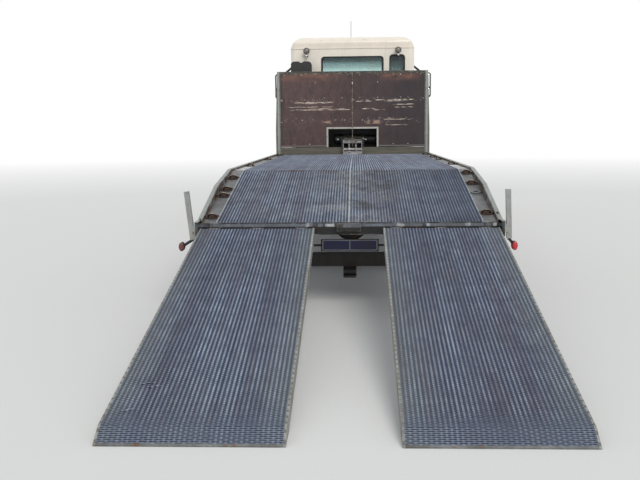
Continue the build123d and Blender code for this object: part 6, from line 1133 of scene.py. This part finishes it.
# ---------------------------------------------------------------- seats
# Two seats in a dark woven cloth: a crowned cushion, a back that leans and a headrest, each filled
# with foam and sewn along its edge, on a moulded base.
seat_middles = (-0.56, 0.56)
seat_y = 4.7372
seat_width, seat_length = 0.472, 0.556
cushion_tall, cushion_top = 0.116, 1.478
back_tall, back_thick, back_lean = 0.700, 0.116, 0.088
head_size = (0.252, 0.090, 0.190)


def cushion(name, size, place, lean, crown, material):
    """A foam block under cloth: crowned faces and sides that pull in to the seam round its middle."""
    halves = [value / 2 for value in size]
    n, layers_up = 12, 6
    points, faces, index = [], [], {}

    def add(u, v, w):
        key = (round(u, 4), round(v, 4), round(w, 4))
        if key not in index:
            ease = (1 - u * u) * (1 - v * v)
            pull = 1 - 0.035 * (1 - w * w) * (1 - max(u * u, v * v)) - 0.020 * (abs(w) ** 6)
            seam_in = 0.012 if abs(w) < 0.01 and max(abs(u), abs(v)) > 0.99 else 0.0
            corner = 1 - 0.060 * (u * u * v * v)
            index[key] = len(points)
            points.append((u * (halves[0] - seam_in) * pull * corner,
                           v * (halves[1] - seam_in) * pull * corner, w * (halves[2] - crown * (1 - ease))))
        return index[key]

    flat = [-1 + 2 * k / n for k in range(n + 1)]
    tall = [-1 + 2 * k / layers_up for k in range(layers_up + 1)]
    for w in (-1, 1):
        for a in range(n):
            for b in range(n):
                quad = [add(flat[a], flat[b], w), add(flat[a + 1], flat[b], w),
                        add(flat[a + 1], flat[b + 1], w), add(flat[a], flat[b + 1], w)]
                faces.append(quad if w > 0 else quad[::-1])
    for a in range(n):
        for c in range(layers_up):
            for v, flip in ((-1, False), (1, True)):
                quad = [add(flat[a], v, tall[c]), add(flat[a + 1], v, tall[c]),
                        add(flat[a + 1], v, tall[c + 1]), add(flat[a], v, tall[c + 1])]
                faces.append(quad[::-1] if flip else quad)
            for u, flip in ((-1, True), (1, False)):
                quad = [add(u, flat[a], tall[c]), add(u, flat[a + 1], tall[c]),
                        add(u, flat[a + 1], tall[c + 1]), add(u, flat[a], tall[c + 1])]
                faces.append(quad[::-1] if flip else quad)
    made = add_mesh(name, points, faces, material, True)
    made.data.transform(Matrix.Translation(Vector(place)) @ Matrix.Rotation(lean, 4, "X"))
    soften = made.modifiers.new("foam", "SUBSURF")
    soften.levels = soften.render_levels = 1
    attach(made, "root")
    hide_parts("seats")
    return made


seat_cloth, tree, shader = new_material("seat_cloth", 0.9)
weave = added(tree, "TexWave", Scale=120.0, Distortion=1.0, Vector=place_on(tree))
tone = mixed(tree, weave.outputs["Fac"], (0.035, 0.040, 0.050), (0.062, 0.067, 0.078))
dusty = levels(tree, noise(tree, 5.0), 0.4, 0.7, 0.0, 0.5)
coloured(tree, shader, mixed(tree, dusty, tone, (0.085, 0.080, 0.072)))
raised(tree, shader, weave.outputs["Fac"], 0.001)

trim, tree, shader = new_material("moulded_trim", 0.6)
coloured(tree, shader, mottled(tree, 7.0, (0.055, 0.055, 0.058), (0.085, 0.084, 0.084)))
raised(tree, shader, fine_grain(tree, 300.0), 0.0005)

base_rings = ((1.044, 0.052), (1.100, 0.060), (1.320, 0.078), (1.358, 0.050))    # height, inset
for side, middle in zip(("left", "right"), seat_middles):
    cushion(f"seat_cushion_{side}", (seat_width, seat_length, cushion_tall),
            (middle, seat_y + 0.280, cushion_top - cushion_tall / 2), 0.0, 0.012, seat_cloth)
    cushion(f"seat_back_{side}", (seat_width - 0.012, back_thick, back_tall),
            (middle, seat_y + 0.026, 1.760), back_lean, 0.010, seat_cloth)
    cushion(f"seat_headrest_{side}", head_size, (middle, seat_y, 2.190), back_lean, 0.008, seat_cloth)
    corners = []
    for z, inset in base_rings:
        outline = rounded_outline(middle - seat_width / 2 + inset, seat_y + inset,
                                  middle + seat_width / 2 - inset, seat_y + seat_length - inset, 0.030, 4)
        corners += [(x, y, z) for x, y in outline]
    faces = ring_ends(len(base_rings), len(outline)) + between_rings(len(base_rings), len(outline))
    seat_base = add_mesh(f"seat_base_{side}", corners, faces, trim)
    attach(seat_base, "root")
    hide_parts("seats")

# ---------------------------------------------------------------- dashboard
# One moulding of grey plastic, screwed in under the windscreen, with the steering column and wheel;
# dull all over.
dress(trim, "dashboard")

# ---------------------------------------------------------------- lamps
# Moulded lenses: combination lamps in amber, red and clear under the beam, red oval marker lamps in
# rubber on the corner posts, clear headlamps and round work lamps with bright reflectors.
rib_group, told, given = new_group(
    "lens_ribs", [("Scale", "NodeSocketFloat")], [("Ribs", "NodeSocketFloat")])
rib_wave = added(rib_group, "TexWave", Scale=told.outputs["Scale"], Vector=place_on(rib_group))
linked(rib_group, given.inputs["Ribs"], rib_wave.outputs["Fac"])


def lens(name, pale, deep, film_amount=0.3, zones=None):
    """A ribbed lens under road film; zones may lay other colours over its own."""
    material, tree, shader = new_material(name, 0.12)
    shader.inputs["Coat Weight"].default_value = 0.5
    ribbing = from_group(tree, rib_group, Scale=26.0)["Ribs"]
    tone = mixed(tree, ribbing, pale, deep)
    if zones is not None:
        tone = zones(tree, tone)
    tone, film = filmed(tree, tone, road_dirt, film_amount)
    coloured(tree, shader, tone, levels(tree, film, 0.0, 1.0, 0.12, 0.6))
    raised(tree, shader, ribbing, 0.0005, 0.4)
    return material


def tail_zones(tree, tone):
    """Amber at the outer end, clear at the inner end, in a black rim."""
    out = away_from(tree, axis_place(tree, "X"))
    tone = mixed(tree, levels(tree, out, 0.835, 0.837), tone, (0.55, 0.17, 0.015))
    tone = mixed(tree, levels(tree, out, 0.668, 0.666), tone, (0.52, 0.54, 0.55))
    rim = levels(tree, away_from(tree, out, 0.76), 0.152, 0.154)
    height = away_from(tree, axis_place(tree, "Z"), 0.584)
    rim = math_node(tree, "MAXIMUM", rim, levels(tree, height, 0.046, 0.048))
    return mixed(tree, rim, tone, (0.018, 0.018, 0.018))


tail_lens = lens("tail_lamp_lens", (0.40, 0.012, 0.014), (0.24, 0.006, 0.008), 0.35, tail_zones)
marker_red = lens("marker_lens", (0.72, 0.020, 0.030), (0.50, 0.012, 0.018), 0.15)
marker_dark = lens("weathered_marker_lens", (0.20, 0.020, 0.020), (0.11, 0.012, 0.012), 0.6)
clear_lens = lens("clear_lens", (0.70, 0.73, 0.75), (0.42, 0.45, 0.47), 0.15)
smoked_lens = lens("work_lamp_lens", (0.30, 0.26, 0.23), (0.10, 0.09, 0.085), 0.2)
amber_lens = lens("amber_lens", (0.72, 0.23, 0.02), (0.50, 0.14, 0.01), 0.25)
dress(tail_lens, "tail_lamps")
dress(rubber, "outline_lamps")
dress(clear_lens, "headlamps")


def oval_lens(centre, across, along, outward, depth, segments=28):
    """A crowned oval lens; across and along carry its half sizes."""
    up = Vector(outward)
    return turned_about(centre, across, along, up, [(1.0, 0.0), (0.98, depth * 0.55), (0.82, depth * 0.86),
                                                    (0.45, depth), (0.05, depth * 1.02)], segments)


marker_face_y, marker_z = -3.1936, 0.548
for side, x, metal in (("left", -1.388, marker_dark), ("right", 1.352, marker_red)):
    shape = oval_lens((x, marker_face_y, marker_z), (0.0225, 0, 0), (0, 0, 0.0355), (0, -1, 0), 0.009)
    marker = gathered_mesh(f"marker_lens_{side}", [shape], metal, True)
    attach(marker, "root")

lamp_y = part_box("work_lamps")[0].y
work_x, work_z = 0.766, 2.795
lens_parts, ring_parts = [], []
for x in (-work_x, work_x):
    lens_parts.append(dome((x, lamp_y - 0.0002, work_z), (0, -1, 0), 0.041, 0.010, 28))
    lens_parts.append(dome((x, lamp_y - 0.010, work_z), (0, -1, 0), 0.016, 0.004, 16))
    ring_parts.append(dome((x, lamp_y + 0.004, work_z - 0.078), (0, -1, 0), 0.019, 0.009, 16))
    ring_parts.append(dome((x + 0.020, lamp_y + 0.001, work_z - 0.052), (0, -1, 0), 0.008, 0.006, 10))
work_lenses = gathered_mesh("work_lamp_lenses", lens_parts, smoked_lens, True)
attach(work_lenses, "root")
work_rings = gathered_mesh("work_lamp_rims", ring_parts, bright_steel, True)
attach(work_rings, "root")

guard_x, reflector_z = 1.2502, 0.800
reflector_parts = []
for sign in (-1, 1):
    for y in (0.45, 2.20, 3.95):
        reflector_parts.append(oval_lens((sign * guard_x, y, reflector_z), (0, 0.048, 0), (0, 0, 0.022),
                                         (sign, 0, 0), 0.006))
reflectors = gathered_mesh("side_reflectors", reflector_parts, amber_lens, True)
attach(reflectors, "root")

# ---------------------------------------------------------------- chassis
# Ladder frame, axles and springs in black chassis paint with rust at the edges and road film all
# over; cast pieces are bare and brown, the side guards and the fuel tank aluminium.
chassis_paint = painted("chassis_black_paint", (0.013, 0.014, 0.016), 0.5, 0.25, 0.5, rust)
dress(chassis_paint, "chassis_frame", "battery_box", "front_axle", "leaf_springs", "tow_frame",
      "track_rod", "plate_holder")
cast_metal, tree, shader = new_material("rusty_casting", 0.8, 0.3)
coloured(tree, shader, mottled(tree, 8.0, (0.050, 0.046, 0.044), (0.095, 0.056, 0.034), 8.0, 0.65))
raised(tree, shader, fine_grain(tree, 45.0), 0.002, 0.6)
dress(cast_metal, "engine", "drive_line", "knuckle_left", "knuckle_right", "rear_axle")
hot_steel = bare_steel("heated_steel", (0.30, 0.27, 0.24), (0.13, 0.10, 0.08), 0.5, 0.9)
dress(hot_steel, "exhaust")
aluminium = bare_steel("dull_aluminium", (0.52, 0.53, 0.54), (0.34, 0.35, 0.36), 0.55, 0.1)
dress(aluminium, "fuel_tank", "side_guards")

plate_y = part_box("plate_holder")[0].y
plate_z, plate_half_x, plate_half_z = 0.446, 0.254, 0.050
plate_face, tree, shader = new_material("blank_plate_face", 0.35)
from_side = away_from(tree, axis_place(tree, "X"))
edge = math_node(tree, "MAXIMUM", levels(tree, from_side, 0.243, 0.244),
                 levels(tree, away_from(tree, axis_place(tree, "Z"), plate_z), 0.040, 0.041))
edge = math_node(tree, "MAXIMUM", edge, band(tree, from_side, 0.0, 0.004, 0.001))
tone = mixed(tree, edge, (0.030, 0.040, 0.150), (0.46, 0.47, 0.52))
tone, film = filmed(tree, tone, road_dirt, 0.35)
coloured(tree, shader, tone, levels(tree, film, 0.0, 1.0, 0.3, 0.8))
rows, faces = thin_pane(-plate_half_x, plate_z - plate_half_z, plate_half_x, plate_z + plate_half_z, 0.012,
                        plate_y - 0.0003, 0.0022, (0.996, 0.98))
blank_plate = add_mesh("blank_plate", rows, faces, plate_face)
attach(blank_plate, "root")

# ---------------------------------------------------------------- wheels
# Pressed steel rims in silver-grey paint with brake dust in the hand holes, held by hexagon nuts,
# and radial tyres with four zigzag grooves and notched shoulders, scuffed grey on the side walls.
rim_paint = painted("rim_paint", (0.36, 0.36, 0.36), 0.4, 0.5, 0.4, rust)
dress(rim_paint, "front_rim_left", "front_rim_right", "rear_rims_left", "rear_rims_right")
tyre_rubber, tree, shader = new_material("tyre_rubber", 0.85)
tone = mottled(tree, 9.0, (0.022, 0.022, 0.022), (0.052, 0.050, 0.046), 7.0)
coloured(tree, shader, filmed(tree, tone, (0.15, 0.125, 0.095), 0.35)[0])
raised(tree, shader, fine_grain(tree, 120.0), 0.001)
tyre_radius, bead_radius = 0.450, 0.2485
axle_z = 0.450
groove_depth, groove_half = 0.013, 0.0055
groove_places = (-0.62, -0.22, 0.22, 0.62)      # as shares of half the tread
tread_share, bead_share = 0.80, 0.82
around = 160


def tyre_shape(middle_x, width, axle_y):
    """Outside of one tyre, turned about its axle, with zigzag grooves and notched shoulders."""
    half, tread = width / 2, width / 2 * tread_share
    wall = [(-half * bead_share, bead_radius), (-half * 0.93, bead_radius + 0.014), (-half * 0.985, 0.300),
            (-half, 0.338), (-half * 0.992, 0.372), (-half * 0.965, 0.404), (-half * 0.915, 0.430),
            (-tread * 1.06, 0.442)]
    profile = [(x, r, 0.0, r > 0.41) for x, r in wall]
    profile.append((-tread, tyre_radius, 0.0, True))
    for share in groove_places:
        profile += [(share * tread + side, tyre_radius - depth, 1.0, False) for side, depth in (
            (-groove_half, 0.0), (-groove_half * 0.55, groove_depth),
            (groove_half * 0.55, groove_depth), (groove_half, 0.0))]
    profile.append((tread, tyre_radius, 0.0, True))
    profile += [(-x, r, 0.0, r > 0.41) for x, r in reversed(wall)]
    points = []
    for k in range(around):
        angle = 2 * math.pi * k / around
        zigzag = (0.0, 0.0035, 0.0, -0.0035)[k % 4]
        for x, r, sways, notched in profile:
            r = r - 0.008 if notched and k % 4 == 0 else r
            points.append((middle_x + x + sways * zigzag, axle_y + r * math.sin(angle),
                           axle_z + r * math.cos(angle)))
    return points, between_rings(around, len(profile), looped=True, inward=True)


def hex_nut(centre, outward, radius, height):
    """A hexagon nut with a bevelled top."""
    rings_of = [(radius, 0.0), (radius, height * 0.8), (radius * 0.86, height),
                (radius * 0.45, height * 1.05)]
    return turned_about(centre, (0, 1, 0), (0, 0, 1), outward, rings_of, 6)


front_axle_y, rear_axle_y = 4.98519, -0.58481
front_tyres = [(0.935, 0.275)]                      # how far out its middle lies, and its width
rear_tyres = [(1.060, 0.255), (0.755, 0.255)]
stud_circle, nut_radius, nut_height = 0.118, 0.0205, 0.018
for side, sign in (("left", -1), ("right", 1)):
    for names, body, axle_y, tyres in (
            (("front_tyre", "front_rim"), f"front_wheel_{side}", front_axle_y, front_tyres),
            (("rear_tyres", "rear_rims"), f"rear_wheels_{side}", rear_axle_y, rear_tyres)):
        shapes = [tyre_shape(sign * x, width, axle_y) for x, width in tyres]
        covers = gathered_mesh(f"{names[0]}_tread_{side}", shapes, tyre_rubber, True)
        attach(covers, body)
        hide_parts(f"{names[0]}_{side}")
        rim_tree = BVHTree.FromObject(nodes[f"{names[1]}_{side}"], depsgraph)
        nuts = []
        for k in range(8):
            between, at = math.radians(45 * k + 22.5), math.radians(45 * k)
            beside = Vector((sign * 1.6, axle_y + stud_circle * math.cos(between),
                             axle_z + stud_circle * math.sin(between)))
            face_x = rim_tree.ray_cast(beside, Vector((-sign, 0, 0)))[0].x
            nuts.append(hex_nut((face_x, axle_y + stud_circle * math.cos(at),
                                 axle_z + stud_circle * math.sin(at)), (sign, 0, 0), nut_radius, nut_height))
        wheel_nuts = gathered_mesh(f"{names[1]}_nuts_{side}", nuts, hot_steel)
        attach(wheel_nuts, body)
